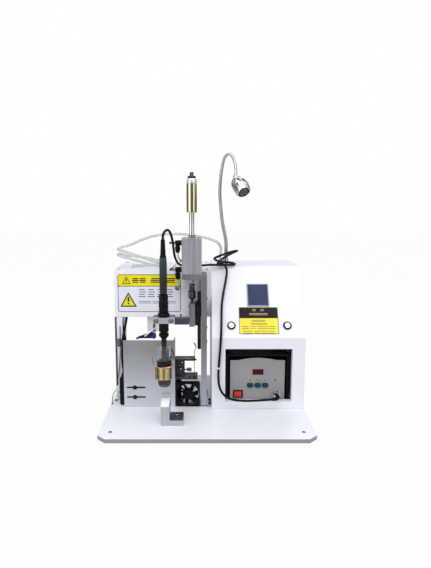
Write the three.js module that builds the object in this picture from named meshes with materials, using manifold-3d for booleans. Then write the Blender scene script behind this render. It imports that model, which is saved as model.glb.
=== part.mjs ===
// Pneumatic bench machine that lowers a soldering iron onto a work fixture.
// Millimetres. +X is the operator's right, +Y is away from the operator, +Z is up.
// The origin is on the bench under the middle of the base plate.

import * as THREE from 'three';
import { mergeVertices } from 'three/addons/utils/BufferGeometryUtils.js';
import Module from 'manifold-3d';

const wasm = await Module();
wasm.setup();

// ---------------------------------------------------------------- driving dimensions

const GAP = 0.3; // air between pieces that touch on the real machine
const SHEET = 1.5; // thickness of bent sheet metal

const PLATE_W = 400; // base plate, X
const PLATE_D = 350; // base plate, Y
const PLATE_T = 8;
const PLATE_CUT = 16; // cut front corners
const FOOT_H = 8;
const FOOT_X = 178.5;
const FOOT_Y = 146;
const FLOOR = FOOT_H + PLATE_T; // top of the base plate

const BOX_LEFT = 11; // control box
const BOX_RIGHT = 200;
const BOX_FRONT = -35;
const BOX_REAR = 170;
const BOX_BEND = 165; // height where the front face starts to lean back
const BOX_TOP = 299;
const BOX_BROW = 55; // Y where the leaning face meets the top

const WINDOW = { x0: 38.4, x1: 174.4, z0: 31, z1: 142, depth: 14 };
const STATION = { x0: 41, x1: 171, front: -16, rear: 110, top: 126, wall: 5 };
const STATION_PANEL = { x0: 49.4, x1: 162, z0: 22, z1: 113.5, crown: 118.5, t: 2.7 };
const KEY_X = [90.7, 106.4, 122];
const KEY = { w: 12.8, h: 9.4, z: 60.2, corner: 4, proud: 2.3, play: 0.4 };
const ROCKER = { x: 65.6, z: 41.7, w: 15.4, h: 11.4, tilt: 5 };
const SOCKET = { x: 145, z: 43 };

const HEADER = { x0: -191, x1: 10.7, y0: 15.3, y1: 165, z0: 197.3, z1: 296.3 };
const LEG_W = 15;

const COLUMN = { x0: -10.6, x1: 1, y0: -25, y1: 15, top: 281.7 };
const LIFT_Y = -5; // middle plane of column, cylinder, rail and carriage
const CYLINDER = { x: -29.5, size: 40, z0: 292.3, z1: 363.3 };
const STROKE = 40; // travel of the iron
const ADJUST = 51; // air between the cylinder and the adjusting sleeve, iron raised
const ROD_R = 5;
const SLEEVE = { r: 10.3, z0: CYLINDER.z1 + ADJUST, z1: 481 };
const RAIL = { x0: -18.2, w: 12, z0: 135, z1: 255 };
const CARRIAGE = { x0: -22.9, x1: -12.5, w: 27, z0: 187, z1: 232.6 };
const SLIDE = { x0: -34.8, y0: -30, y1: 8.5, z0: 187, z1: 233 };

const IRON_X = -81.5;
const IRON_Y = -92;
const GRIP_R = 9.5; // iron body where the clamp holds it
const CLAMP = { x0: -100.8, x1: -60.2, y0: -104, y1: -74, z0: 210.5, z1: 221.6 };
const ARM = { z0: 206, z1: 218 };

const SHROUD = { rIn: 12.9, rOut: 14.4, z0: 101, zMid: 124.3, z1: 136 };
const PANEL = { x0: -169.4, x1: -64.4, y0: -26, t: 2, z1: 157.5 };
const FAN = { x: -38, z: FLOOR + GAP + 25, size: 50, y0: -25, depth: 15, bore: 23.3 };
const POST = { x0: -87.3, x1: -70.6, y0: -118.5, y1: -79, top: 57.2, stop: 66.5 };
const LEAD_D = 4.8; // the iron's lead
const HOSE_D = 6; // air hose

// ---------------------------------------------------------------- materials

function finish(color, roughness, metalness) {
  return new THREE.MeshStandardMaterial({ color, roughness, metalness });
}

const white = finish(0xe9e9ee, 0.45, 0.0);
const greyPaint = finish(0xa9abaf, 0.5, 0.4);
const aluminium = finish(0xb4b6ba, 0.35, 0.8);
const steel = finish(0xc9cbd0, 0.18, 1.0);
const black = finish(0x17171a, 0.5, 0.0);
const darkCase = finish(0x24262a, 0.6, 0.0);
const panelGrey = finish(0xb7b4ae, 0.55, 0.0);
const teal = finish(0x1f4350, 0.5, 0.0);
const red = finish(0xc8202c, 0.4, 0.0);
const rubber = finish(0x1c1c1e, 0.85, 0.0);
const brass = finish(0xb9963e, 0.25, 1.0);
const brown = finish(0x2a1712, 0.5, 0.0);
const glass = finish(0xdfe6e6, 0.05, 0.0);
const board = finish(0x1d5a3a, 0.6, 0.0);
const violet = finish(0x4b44a8, 0.35, 0.5);
const clearHose = finish(0xe6ece8, 0.3, 0.0);

// ---------------------------------------------------------------- shape helpers

const machine = new THREE.Group();

function add(name, geometry, material, parent = machine) {
  const mesh = new THREE.Mesh(geometry, material);
  mesh.name = name;
  parent.add(mesh);
  return mesh;
}

function solidOf(geometry) {
  const bare = geometry.clone();
  bare.deleteAttribute('normal');
  bare.deleteAttribute('uv');
  const merged = mergeVertices(bare, 1e-4);
  const vertProperties = new Float32Array(merged.attributes.position.array);
  const triVerts = new Uint32Array(merged.index.array);
  return new wasm.Manifold(new wasm.Mesh({ numProp: 3, vertProperties, triVerts }));
}

function geometryOf(solid) {
  const mesh = solid.getMesh();
  const geometry = new THREE.BufferGeometry();
  geometry.setAttribute('position', new THREE.BufferAttribute(new Float32Array(mesh.vertProperties), 3));
  geometry.setIndex(new THREE.BufferAttribute(new Uint32Array(mesh.triVerts), 1));
  return geometry;
}

// Joins a list of geometries, then takes a second list away.
function carve(bodies, cuts = []) {
  let solid = solidOf(bodies[0]);
  for (const body of bodies.slice(1)) {
    solid = solid.add(solidOf(body));
  }
  for (const cut of cuts) {
    solid = solid.subtract(solidOf(cut));
  }
  return geometryOf(solid);
}

function block(x0, x1, y0, y1, z0, z1) {
  const geometry = new THREE.BoxGeometry(x1 - x0, y1 - y0, z1 - z0);
  return geometry.translate((x0 + x1) / 2, (y0 + y1) / 2, (z0 + z1) / 2);
}

// A round bar from one point to another.
function bar(from, to, radius, sides = 20) {
  const start = new THREE.Vector3(...from);
  const end = new THREE.Vector3(...to);
  const length = start.distanceTo(end);
  const geometry = new THREE.CylinderGeometry(radius, radius, length, sides);
  const turn = new THREE.Quaternion().setFromUnitVectors(
    new THREE.Vector3(0, 1, 0),
    end.clone().sub(start).normalize(),
  );
  geometry.applyQuaternion(turn);
  const middle = start.add(end).multiplyScalar(0.5);
  return geometry.translate(middle.x, middle.y, middle.z);
}

// A turned piece about the Z axis. The profile of [radius, z] points runs upwards on its outside.
function turned(profile, sides = 24) {
  const points = profile.map(([r, z]) => new THREE.Vector2(r, z));
  return new THREE.LatheGeometry(points, sides).rotateX(Math.PI / 2);
}

function outline(points) {
  return new THREE.Shape(points.map(([a, b]) => new THREE.Vector2(a, b)));
}

// Extrusions of an outline: along X from (y, z), along Y from (x, z), along Z from (x, y).
function alongX(shape, x0, x1, curveSegments = 12) {
  const geometry = new THREE.ExtrudeGeometry(shape, { depth: x1 - x0, bevelEnabled: false, curveSegments });
  const axes = new THREE.Matrix4().set(0, 0, 1, x0, 1, 0, 0, 0, 0, 1, 0, 0, 0, 0, 0, 1);
  return geometry.applyMatrix4(axes);
}

function alongY(shape, y0, y1, curveSegments = 12) {
  const geometry = new THREE.ExtrudeGeometry(shape, { depth: y1 - y0, bevelEnabled: false, curveSegments });
  return geometry.rotateX(Math.PI / 2).translate(0, y1, 0);
}

function alongZ(shape, z0, z1, curveSegments = 12) {
  const geometry = new THREE.ExtrudeGeometry(shape, { depth: z1 - z0, bevelEnabled: false, curveSegments });
  return geometry.translate(0, 0, z0);
}

// A round cord or tube that follows a smooth curve through the points.
function cord(points, diameter, steps, sides = 8) {
  const curve = new THREE.CatmullRomCurve3(points.map((p) => new THREE.Vector3(...p)));
  const section = new THREE.Shape();
  for (let i = 0; i < sides; i += 1) {
    const angle = (i * 2 * Math.PI) / sides;
    const place = [Math.cos(angle) * diameter / 2, Math.sin(angle) * diameter / 2];
    if (i === 0) {
      section.moveTo(...place);
    } else {
      section.lineTo(...place);
    }
  }
  section.closePath();
  return new THREE.ExtrudeGeometry(section, { steps, bevelEnabled: false, extrudePath: curve });
}

// Rectangle with round corners, centred on (x, z).
function roundedRect(x, z, width, height, corner) {
  const shape = new THREE.Shape();
  const [a, b, r] = [width / 2, height / 2, corner];
  shape.absarc(x + a - r, z - b + r, r, -Math.PI / 2, 0, false);
  shape.absarc(x + a - r, z + b - r, r, 0, Math.PI / 2, false);
  shape.absarc(x - a + r, z + b - r, r, Math.PI / 2, Math.PI, false);
  shape.absarc(x - a + r, z - b + r, r, Math.PI, Math.PI * 1.5, false);
  return shape;
}

// ---------------------------------------------------------------- base

function makeBase() {
  const [a, b, c] = [PLATE_W / 2, PLATE_D / 2, PLATE_CUT];
  const plate = outline([[-a, -b + c], [-a + c, -b], [a - c, -b], [a, -b + c], [a, b], [-a, b]]);
  for (const x of [-FOOT_X, FOOT_X]) {
    for (const y of [-FOOT_Y, FOOT_Y]) {
      plate.holes.push(new THREE.Path().absarc(x, y, 2.4, 0, 2 * Math.PI, true));
    }
  }
  add('base_plate', alongZ(plate, FOOT_H, FLOOR, 6), white);
  const profile = [[0, 0], [8.5, 0], [11, 2.5], [11, FOOT_H - GAP], [0, FOOT_H - GAP]];
  const places = { front_left: [-1, -1], front_right: [1, -1], rear_left: [-1, 1], rear_right: [1, 1] };
  for (const [name, [sx, sy]] of Object.entries(places)) {
    const foot = add(`foot_${name}`, turned(profile, 16), rubber);
    foot.position.set(sx * FOOT_X, sy * FOOT_Y, 0);
  }
}

// ---------------------------------------------------------------- control box

// Local axes of the leaning face: X across, Y up the slope, Z out of the face.
const slope = new THREE.Group();
slope.position.set(0, BOX_FRONT, BOX_BEND);
slope.rotation.x = Math.atan2(BOX_TOP - BOX_BEND, BOX_BROW - BOX_FRONT);
machine.add(slope);
slope.updateMatrix();

const COUNTER = { x0: 85, x1: 130, v0: 68.5, v1: 119.5, proud: 2, depth: 26, lip: 1.5 };
const PUSH = { left: 50.8, right: 164.4, v: 26.4, r: 7.2, proud: 4.2, inside: 7, play: 0.5 };

function makeBoxShell() {
  const bottom = FLOOR + GAP;
  const side = outline([
    [BOX_FRONT, bottom],
    [BOX_REAR, bottom],
    [BOX_REAR, BOX_TOP],
    [BOX_BROW, BOX_TOP],
    [BOX_FRONT, BOX_BEND],
  ]);
  const lean = SHEET * 0.55; // shift of the inner corner where two sheets meet at an angle
  const inside = outline([
    [BOX_FRONT + SHEET, bottom - 5],
    [BOX_REAR + 5, bottom - 5],
    [BOX_REAR + 5, BOX_TOP - SHEET],
    [BOX_BROW + lean, BOX_TOP - SHEET],
    [BOX_FRONT + SHEET, BOX_BEND - lean],
  ]);
  const w = WINDOW;
  const deep = BOX_FRONT + w.depth;
  const frame = block(w.x0 - SHEET, w.x1 + SHEET, BOX_FRONT + 0.5, deep, w.z0 - SHEET, w.z1 + SHEET);
  const hollow = carve([alongX(side, BOX_LEFT, BOX_RIGHT)], [alongX(inside, BOX_LEFT + SHEET, BOX_RIGHT - SHEET)]);
  const c = COUNTER;
  const counterHole = block(c.x0 + c.lip, c.x1 - c.lip, c.v0 + c.lip, c.v1 - c.lip, -5, 5);
  const cuts = [block(w.x0, w.x1, BOX_FRONT - 5, deep + 1, w.z0, w.z1), counterHole.applyMatrix4(slope.matrix)];
  for (const x of [PUSH.left, PUSH.right]) {
    cuts.push(bar([x, PUSH.v, -5], [x, PUSH.v, 5], PUSH.r + PUSH.play, 24).applyMatrix4(slope.matrix));
  }
  add('box_shell', carve([hollow, frame], cuts), white);
}

const INLET = { x: 152, z: 54, w: 48, h: 28, body: 27, rise: 20, depth: 22 };

function makeBoxRear() {
  const y0 = BOX_REAR - 2.5;
  const y1 = y0 + SHEET;
  const play = SHEET + GAP;
  const cover = block(BOX_LEFT + play, BOX_RIGHT - play, y0, y1, FLOOR + GAP, BOX_TOP - play);
  const cuts = [];
  for (let i = 0; i < 8; i += 1) {
    const z = 200 + i * 9;
    cuts.push(block(60, 150, y0 - 1, y1 + 1, z, z + 4));
  }
  const i = INLET;
  cuts.push(block(i.x - i.body / 2 - GAP, i.x + i.body / 2 + GAP, y0 - 1, y1 + 1, i.z - 10.3, i.z + 10.3));
  add('box_rear_cover', carve([cover], cuts), white);
  const flange = block(i.x - i.w / 2, i.x + i.w / 2, y1 + GAP, y1 + 3, i.z - i.h / 2, i.z + i.h / 2);
  const body = block(i.x - i.body / 2, i.x + i.body / 2, y1 - i.depth, y1 + 1, i.z - i.rise / 2, i.z + i.rise / 2);
  const mouth = block(i.x - 11.5, i.x + 11.5, y1 - 14, y1 + 5, i.z - 7.5, i.z + 7.5);
  const pins = [];
  for (const [dx, dz] of [[-6.5, -2], [0, 3], [6.5, -2]]) {
    pins.push(block(i.x + dx - 1, i.x + dx + 1, y1 - 15, y1 - 3, i.z + dz - 2, i.z + dz + 2));
  }
  const shell = carve([flange, body], [mouth]);
  add('mains_inlet', carve([shell, ...pins]), black);
}

function makeStation() {
  const s = STATION;
  const bottom = FLOOR + 2 * GAP;
  const inner = block(s.x0 + s.wall, s.x1 - s.wall, s.front - 1, s.front + 40, bottom + s.wall, s.top - s.wall);
  add('station_case', carve([block(s.x0, s.x1, s.front, s.rear, bottom, s.top)], [inner]), darkCase);

  const p = STATION_PANEL;
  const face = new THREE.Shape();
  face.moveTo(p.x0, p.z0);
  face.lineTo(p.x1, p.z0);
  face.lineTo(p.x1, p.z1);
  face.lineTo(p.x1 - 16, p.z1);
  face.quadraticCurveTo((p.x0 + p.x1) / 2, 2 * p.crown - p.z1, p.x0 + 16, p.z1);
  face.lineTo(p.x0, p.z1);
  face.closePath();
  const back = s.front - GAP;
  const front = back - p.t;
  const cuts = [
    block(ROCKER.x - 9.2, ROCKER.x + 9.2, front - 1, back + 1, ROCKER.z - 6.2, ROCKER.z + 6.2),
    bar([SOCKET.x, front - 1, SOCKET.z], [SOCKET.x, back + 1, SOCKET.z], 6.6),
  ];
  for (const x of KEY_X) {
    const hole = roundedRect(x, KEY.z, KEY.w + 2 * KEY.play, KEY.h + 2 * KEY.play, KEY.corner);
    cuts.push(alongY(hole, front - 1, back + 1, 4));
  }
  add('station_panel', carve([alongY(face, front, back, 10)], cuts), panelGrey);

  ['left', 'middle', 'right'].forEach((side, i) => {
    const key = roundedRect(KEY_X[i], KEY.z, KEY.w, KEY.h, KEY.corner);
    add(`station_button_${side}`, alongY(key, front - KEY.proud, back + 3, 4), teal);
  });

  // The rocker is thicker at its raised left end. It turns about a vertical pin through its group.
  const pivot = new THREE.Group();
  pivot.position.set(ROCKER.x, front + 2, ROCKER.z);
  machine.add(pivot);
  const half = ROCKER.w / 2;
  const rise = half * Math.tan(THREE.MathUtils.degToRad(ROCKER.tilt));
  const top = outline([[-half, 5], [-half, -4 - rise], [0, -3.4], [half, -4 + rise], [half, 5]]);
  add('power_rocker', alongZ(top, -ROCKER.h / 2, ROCKER.h / 2), red, pivot);

  const skirt = bar([SOCKET.x, front - 2.2, SOCKET.z], [SOCKET.x, front - GAP, SOCKET.z], 9);
  const nose = bar([SOCKET.x, front - 3.6, SOCKET.z], [SOCKET.x, front - 1, SOCKET.z], 7.4);
  const stem = bar([SOCKET.x, front - 1, SOCKET.z], [SOCKET.x, back + 8, SOCKET.z], 6.2);
  add('tool_socket', carve([skirt, nose, stem]), steel);
}

function makeCounterAndButtons() {
  const c = COUNTER;
  const bezel = block(c.x0, c.x1, c.v0, c.v1, GAP, c.proud);
  const inset = 2.2;
  const body = block(c.x0 + inset, c.x1 - inset, c.v0 + inset, c.v1 - inset, -c.depth, 1);
  const recess = block(c.x0 + 1.6, c.x1 - 1.6, c.v0 + 1.6, c.v1 - 1.6, c.proud - 0.8, c.proud + 2);
  add('counter_module', carve([bezel, body], [recess]), panelGrey, slope);
  for (const [name, x] of [['start_button', PUSH.left], ['stop_button', PUSH.right]]) {
    const r = PUSH.r;
    const top = PUSH.proud;
    const cap = turned([[0, -PUSH.inside], [r, -PUSH.inside], [r, top - 1], [r - 1, top], [0, top - 0.3]]);
    add(name, cap.translate(x, PUSH.v, 0), steel, slope);
  }
}

function makeInternals() {
  const wall = BOX_LEFT + SHEET;
  const shell = block(30, 128, 122, 160, FLOOR + 2 * GAP, FLOOR + 82);
  const vents = [];
  for (let i = 0; i < 6; i += 1) {
    vents.push(block(38 + i * 14, 46 + i * 14, 126, 156, FLOOR + 78, FLOOR + 90));
  }
  add('power_supply', carve([shell], vents), aluminium);

  const pieces = [block(wall + 4, wall + 5.6, 20, 140, 150, 235)];
  for (const [y, z] of [[26, 156], [134, 156], [26, 229], [134, 229]]) {
    pieces.push(bar([wall + GAP, y, z], [wall + 5, y, z], 3, 12));
  }
  for (let i = 0; i < 4; i += 1) {
    pieces.push(block(wall + 5, wall + 21, 36 + i * 24, 52 + i * 24, 196, 216));
  }
  pieces.push(block(wall + 5, wall + 15, 34, 126, 155, 167));
  add('control_board', carve(pieces), board);

  const valve = block(-150, -128, 60, 120, 230, 270);
  const coil = block(-150, -130, 121 - 2, 150, 236, 264);
  const hanger = block(-146, -132, 78, 102, 268, HEADER.z1 - SHEET - GAP);
  add('solenoid_valve', carve([valve, coil, hanger]), aluminium);
}

// ---------------------------------------------------------------- header and its leg

function makeHeader() {
  const h = HEADER;
  const outer = block(h.x0, h.x1, h.y0, h.y1, h.z0, h.z1);
  const t = SHEET;
  const inner = block(h.x0 + t, h.x1 - t, h.y0 + t, h.y1 - t, h.z0 - 5, h.z1 - t);
  const lips = [
    block(h.x0 + 1, h.x1 - 1, h.y0 + 1, h.y0 + 14, h.z0, h.z0 + t),
    block(h.x0 + 1, h.x1 - 1, h.y1 - 14, h.y1 - 1, h.z0, h.z0 + t),
  ];
  const tab = block(-125, -102, h.y0 + 12, h.y0 + 12 + t, 163.5, h.z0 + 1);
  add('header_box', carve([carve([outer], [inner]), ...lips, tab]), white);

  const top = h.z0 - GAP;
  const foot = FLOOR + GAP;
  const leg = carve([
    block(h.x0, h.x0 + LEG_W, h.y0, h.y0 + t, foot, top),
    block(h.x0, h.x0 + t, h.y0, h.y1, foot, top),
    block(h.x0, h.x0 + LEG_W, h.y0, h.y1, foot, foot + t),
    block(h.x0, h.x0 + LEG_W, h.y0, h.y1, top - t, top),
  ]);
  add('header_leg', leg, white);
}

// ---------------------------------------------------------------- lift

function makeColumn() {
  const c = COLUMN;
  add('column_plate', block(c.x0, c.x1, c.y0, c.y1, FLOOR + GAP, c.top), aluminium);
  const half = CYLINDER.size / 2;
  const shelf = block(CYLINDER.x - half, c.x1, c.y0, c.y1, c.top + GAP, CYLINDER.z0 - GAP);
  const hole = bar([CYLINDER.x, LIFT_Y, c.top - 5], [CYLINDER.x, LIFT_Y, CYLINDER.z0 + 5], ROD_R + 1.5);
  add('cylinder_plate', carve([shelf], [hole]), aluminium);
}

// Square section with two shallow grooves in each face, the middle rib between them.
function cylinderSection() {
  const a = CYLINDER.size / 2;
  const edge = 9; // corner land beside the grooves
  const rib = 1;
  const deep = 1.8;
  const face = [
    [-a, -a],
    [-edge, -a],
    [-edge + 0.6, -a + deep],
    [-rib - 0.6, -a + deep],
    [-rib, -a + 0.4],
    [rib, -a + 0.4],
    [rib + 0.6, -a + deep],
    [edge - 0.6, -a + deep],
    [edge, -a],
  ];
  const points = [];
  for (let side = 0; side < 4; side += 1) {
    const [cos, sin] = [Math.round(Math.cos(side * Math.PI / 2)), Math.round(Math.sin(side * Math.PI / 2))];
    for (const [x, y] of face) {
      points.push([CYLINDER.x + x * cos - y * sin, LIFT_Y + x * sin + y * cos]);
    }
  }
  return outline(points);
}

function makeCylinder() {
  const c = CYLINDER;
  const bore = bar([c.x, LIFT_Y, c.z0 - 5], [c.x, LIFT_Y, c.z1 + 9], ROD_R + 0.5, 32);
  const gland = bar([c.x, LIFT_Y, c.z1 - 1], [c.x, LIFT_Y, c.z1 + 6.5], 6.7, 28);
  add('air_cylinder', carve([alongZ(cylinderSection(), c.z0, c.z1), gland], [bore]), aluminium);

  const stud = 3;
  const neck = 4;
  const nut = 7.4; // locks the adjusting sleeve
  const rod = turned([
    [0, 266],
    [stud, 266],
    [stud, c.z0 + 0.7],
    [ROD_R, c.z0 + 1.7],
    [ROD_R, SLEEVE.z0 - GAP],
    [neck, SLEEVE.z0 - GAP],
    [neck, SLEEVE.z1 + GAP],
    [nut, SLEEVE.z1 + GAP],
    [nut, SLEEVE.z1 + 4.8],
    [neck, SLEEVE.z1 + 4.8],
    [neck, 492.5],
    [neck - 1, 493.5],
    [0, 493.5],
  ]);
  add('piston_rod', rod.translate(c.x, LIFT_Y, 0), steel);

  const [r, z0, z1] = [SLEEVE.r, SLEEVE.z0, SLEEVE.z1];
  const bore2 = neck + 0.4;
  const sleeve = turned([
    [bore2, z0], [r - 0.6, z0], [r, z0 + 0.8], [r, z1 - 2.2], [r - 1.6, z1], [bore2, z1], [bore2, z0],
  ], 32);
  add('stroke_sleeve', sleeve.translate(c.x, LIFT_Y, 0), steel);

  const joint = turned([
    [0, SLIDE.z1 + GAP],
    [3, SLIDE.z1 + GAP],
    [3, 239],
    [5.2, 241.5],
    [7.6, 242.5],
    [7.6, 256],
    [5.6, 258],
    [4.2, 265.7],
    [0, 265.7],
  ], 24);
  add('floating_joint', joint.translate(c.x, LIFT_Y, 0), steel);
}

function makeRail() {
  const half = RAIL.w / 2;
  const side = COLUMN.x0 - GAP;
  add('slide_rail', block(RAIL.x0, side, LIFT_Y - half, LIFT_Y + half, RAIL.z0, RAIL.z1), black);
  const c = CARRIAGE;
  const channel = half + 0.4;
  const body = block(c.x0, c.x1, LIFT_Y - c.w / 2, LIFT_Y + c.w / 2, c.z0, c.z1);
  const slot = block(RAIL.x0 - 0.5, c.x1 + 1, LIFT_Y - channel, LIFT_Y + channel, c.z0 - 1, c.z1 + 1);
  add('slide_carriage', carve([body], [slot]), black);
  const s = SLIDE;
  add('slide_plate', block(s.x0, c.x0 - GAP, s.y0, s.y1, s.z0, s.z1), aluminium);
}

function makeSpeedController(name, z) {
  const x = CYLINDER.x - CYLINDER.size / 2 - GAP;
  const turnX = x - 8.2;
  const pieces = [
    bar([x - 13, LIFT_Y, z], [x, LIFT_Y, z], 5.5, 20),
    bar([turnX, LIFT_Y, z - 20], [turnX, LIFT_Y, z], 5.1, 20),
    bar([x - 22, LIFT_Y, z], [x - 12, LIFT_Y, z], 1.6, 12),
    bar([x - 26, LIFT_Y, z], [x - 21, LIFT_Y, z], 3.2, 16),
  ];
  const mouth = bar([turnX, LIFT_Y, z - 21], [turnX, LIFT_Y, z - 14], 2.4, 12);
  add(name, carve(pieces, [mouth]), black);
}

// ---------------------------------------------------------------- iron and its arm

function makeArm() {
  const c = CLAMP;
  const s = SLIDE;
  const left = s.x0 - GAP;
  const bore = bar([IRON_X, IRON_Y, 190], [IRON_X, IRON_Y, 240], GRIP_R + GAP, 32);
  const split = IRON_Y - GAP;
  const link = outline([
    [c.y1 - 2, 203], [c.y1 - 2, 214.6], [-52, 210], [-25, 204], [s.y1, 198], [s.y1, 189.5], [-25, 191], [-52, 197.6],
  ]);
  const arm = carve([
    block(c.x0, c.x1, IRON_Y + GAP, c.y1, c.z0, c.z1),
    block(c.x1 - 1, left, IRON_Y + GAP, c.y1, ARM.z0, ARM.z1),
    alongX(link, left - 12, left),
    block(-103, -99, -80, -75, 176, c.z1 - 2),
  ], [bore]);
  add('iron_arm', arm, aluminium);
  add('clamp_jaw', carve([block(c.x0, c.x1, c.y0, split, c.z0, c.z1)], [bore]), aluminium);
}

function makeIron() {
  const iron = new THREE.Group();
  iron.position.set(IRON_X, IRON_Y, 0);
  machine.add(iron);
  const handle = [
    [0, 193],
    [GRIP_R, 193],
    [GRIP_R, 222],
    [11.2, 222.3],
    [11.2, 228.5],
    [9, 229],
    [8.6, 264],
    [6.6, 265.5],
    [6.9, 290],
    [6.5, 333.5],
    [5.6, 336.5],
    [5.1, 338],
    [4.1, 367],
    [0, 367],
  ];
  add('iron_handle', turned(handle), teal, iron);
  const collar = [
    [0, 192.7], [6.6, 192.7], [6.6, 190.5], [9.3, 189.2], [9.4, 185], [6.2, 180.6], [0, 180.6], [0, 192.7],
  ];
  add('iron_nut', turned(collar.slice(0, -1).reverse()), black, iron);
  const heater = [[0, 136.3], [4.5, 136.3], [5, 137], [5, 180.3], [0, 180.3]];
  add('iron_barrel', turned(heater, 20), black, iron);
  const low = POST.top + 5 + STROKE; // the bit stops 5 mm above the post
  const bit = [[0, low], [1, low], [3, low + 8], [3, 136], [0, 136]];
  add('iron_tip', turned(bit, 20), steel, iron);
}

const KNOB = { x: -101, z: 181.8, r: 4.5 };

function makeFeedArm() {
  const tapered = outline([
    [KNOB.x - 4, KNOB.z - 4.4],
    [KNOB.x + 3, KNOB.z - 4.2],
    [KNOB.x + 4.4, KNOB.z + 3],
    [KNOB.x - 4.7, KNOB.z + 8.6],
    [-122.6, 183.4],
    [-132.4, 181],
    [-132.4, 177.2],
  ]);
  const web = alongY(tapered, -84, -80.4);
  const knob = bar([KNOB.x, -88, KNOB.z], [KNOB.x, -80.4, KNOB.z], KNOB.r, 20);
  add('feed_arm', carve([web, knob]), violet);
}

// ---------------------------------------------------------------- shroud, shield panel, feeder

function makeShroud() {
  const s = SHROUD;
  const tube = new THREE.Group();
  tube.position.set(IRON_X, IRON_Y, 0);
  machine.add(tube);
  const wall = 1.2;
  const outer = [
    [8, 85], [10.8, 86.8], [12.5, 93.5], [12.5, 134], [13.6, 147], [12.9, 158], [11.6, 166.5],
  ];
  const inner = outer.map(([r, z]) => [r - wall, z]).reverse();
  add('shroud_glass', turned([...outer, ...inner, outer[0]]), glass, tube);
  const ring = (z0, z1, rOut) => [[s.rIn, z0], [rOut, z0], [rOut, z1], [s.rIn, z1], [s.rIn, z0]];
  add('shroud_sleeve', turned(ring(s.z0, s.zMid, s.rOut), 32), brass, tube);

  const collar = turned(ring(s.zMid + GAP, s.z1, s.rOut - 0.3), 32).translate(IRON_X, IRON_Y, 0);
  const behind = PANEL.y0 - GAP;
  const holder = carve([
    collar,
    block(IRON_X - 5, IRON_X + 5, IRON_Y + s.rIn + 0.8, behind, 125.5, 135),
    block(IRON_X - 10, IRON_X + 10, behind - 3, behind, 120, 141),
  ]);
  add('shroud_holder', holder, brown);
}

function makePanel() {
  const p = PANEL;
  const bottom = FLOOR + GAP;
  const back = p.y0 + p.t;
  const pieces = [
    block(p.x0, p.x1, p.y0, back, bottom, p.z1),
    block(p.x1 - p.t, p.x1, p.y0, back + 20, bottom, p.z1),
    block(-135, p.x1, p.y0, back + 16, bottom, bottom + p.t),
  ];
  const cuts = [];
  for (const z of [57.8, 37.1]) {
    const slot = roundedRect(-144.2, z, 39, 3.8, 1.89);
    cuts.push(alongY(slot, p.y0 - 1, back + 1, 4));
  }
  add('shield_panel', carve(pieces, cuts), greyPaint);
}

function makeFeeder() {
  const left = PANEL.x1 + GAP;
  const pieces = [
    block(left, -23.3, -20, -8, 112.5, 119.8),
    block(left, -45, -20, 5, 78, 113),
    block(left, -18, -12, 5, 69.5, 80.5),
    block(left, -52, -7, 8, FLOOR + GAP, 72),
  ];
  add('feeder_block', carve(pieces), black);
  const screw = carve([
    bar([-45 + GAP, -12, 91.7], [-38, -12, 91.7], 1.5, 12),
    bar([-40, -12, 91.7], [-30.2, -12, 91.7], 3.9, 20),
  ]);
  add('feeder_thumb_screw', screw, black);
  const motor = [
    block(-180, -140, -16, 14.8, FLOOR + GAP, 75.7),
    bar([-147, -23.5, 57.8], [-147, -15, 57.8], 4, 16),
    bar([-147, -23.5, 37.1], [-147, -15, 37.1], 4, 16),
    bar([-141, 0, 48], [-126, 0, 48], 14, 24),
  ];
  add('feeder_motor', carve(motor), black);
}

// ---------------------------------------------------------------- fan

function makeFan() {
  const f = FAN;
  const fan = new THREE.Group();
  fan.position.set(f.x, f.y0, f.z);
  machine.add(fan);
  const half = f.size / 2;
  const hubR = 11;
  const frame = alongY(roundedRect(0, 0, f.size, f.size, 4), 0, f.depth, 5);
  const throat = bar([0, -1, 0], [0, f.depth + 1, 0], f.bore, 32);
  const back = [bar([0, f.depth - 3, 0], [0, f.depth, 0], hubR, 24)];
  for (let i = 0; i < 4; i += 1) {
    const spoke = block(-1.6, 1.6, f.depth - 2.5, f.depth, hubR - 2, half - 1);
    back.push(spoke.rotateY(Math.PI / 5 + (i * Math.PI) / 2));
  }
  const holes = [];
  for (const [sx, sz] of [[-1, -1], [1, -1], [-1, 1], [1, 1]]) {
    holes.push(bar([sx * 20, -1, sz * 20], [sx * 20, f.depth + 1, sz * 20], 1.8, 12));
  }
  add('fan_frame', carve([carve([frame], [throat, ...holes]), ...back]), black, fan);

  const blades = [bar([0, 0.8, 0], [0, f.depth - 3.6, 0], hubR, 24)];
  for (let i = 0; i < 7; i += 1) {
    const blade = block(-0.8, 0.8, -6, 6, hubR - 1.5, f.bore - 1.3);
    blade.rotateZ(THREE.MathUtils.degToRad(48)).translate(0, 6.2, 0);
    blades.push(blade.rotateY((i * 2 * Math.PI) / 7));
  }
  add('fan_rotor', carve(blades), black, fan);
}

// ---------------------------------------------------------------- work fixture

function makeFixture() {
  const p = POST;
  const bottom = FLOOR + GAP;
  const fixture = carve([
    block(p.x0, p.x1, p.y0, p.y1, bottom, p.top),
    block(p.x0, p.x1, p.y1 - 4, p.y1, bottom, p.stop),
    block(p.x0, -44.6, p.y0, p.y1, bottom, 26),
  ], [bar([-57, -98, 20], [-57, -98, 30], 5, 20)]);
  add('fixture_block', fixture, aluminium);
}

// ---------------------------------------------------------------- lamp

const LAMP = { x: 43.5, y: 85, bend: 446, r: 3.9 };
const HEAD = { from: [62.2, 61.5, 486.5], to: [78.3, 32, 452.4] };

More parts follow.
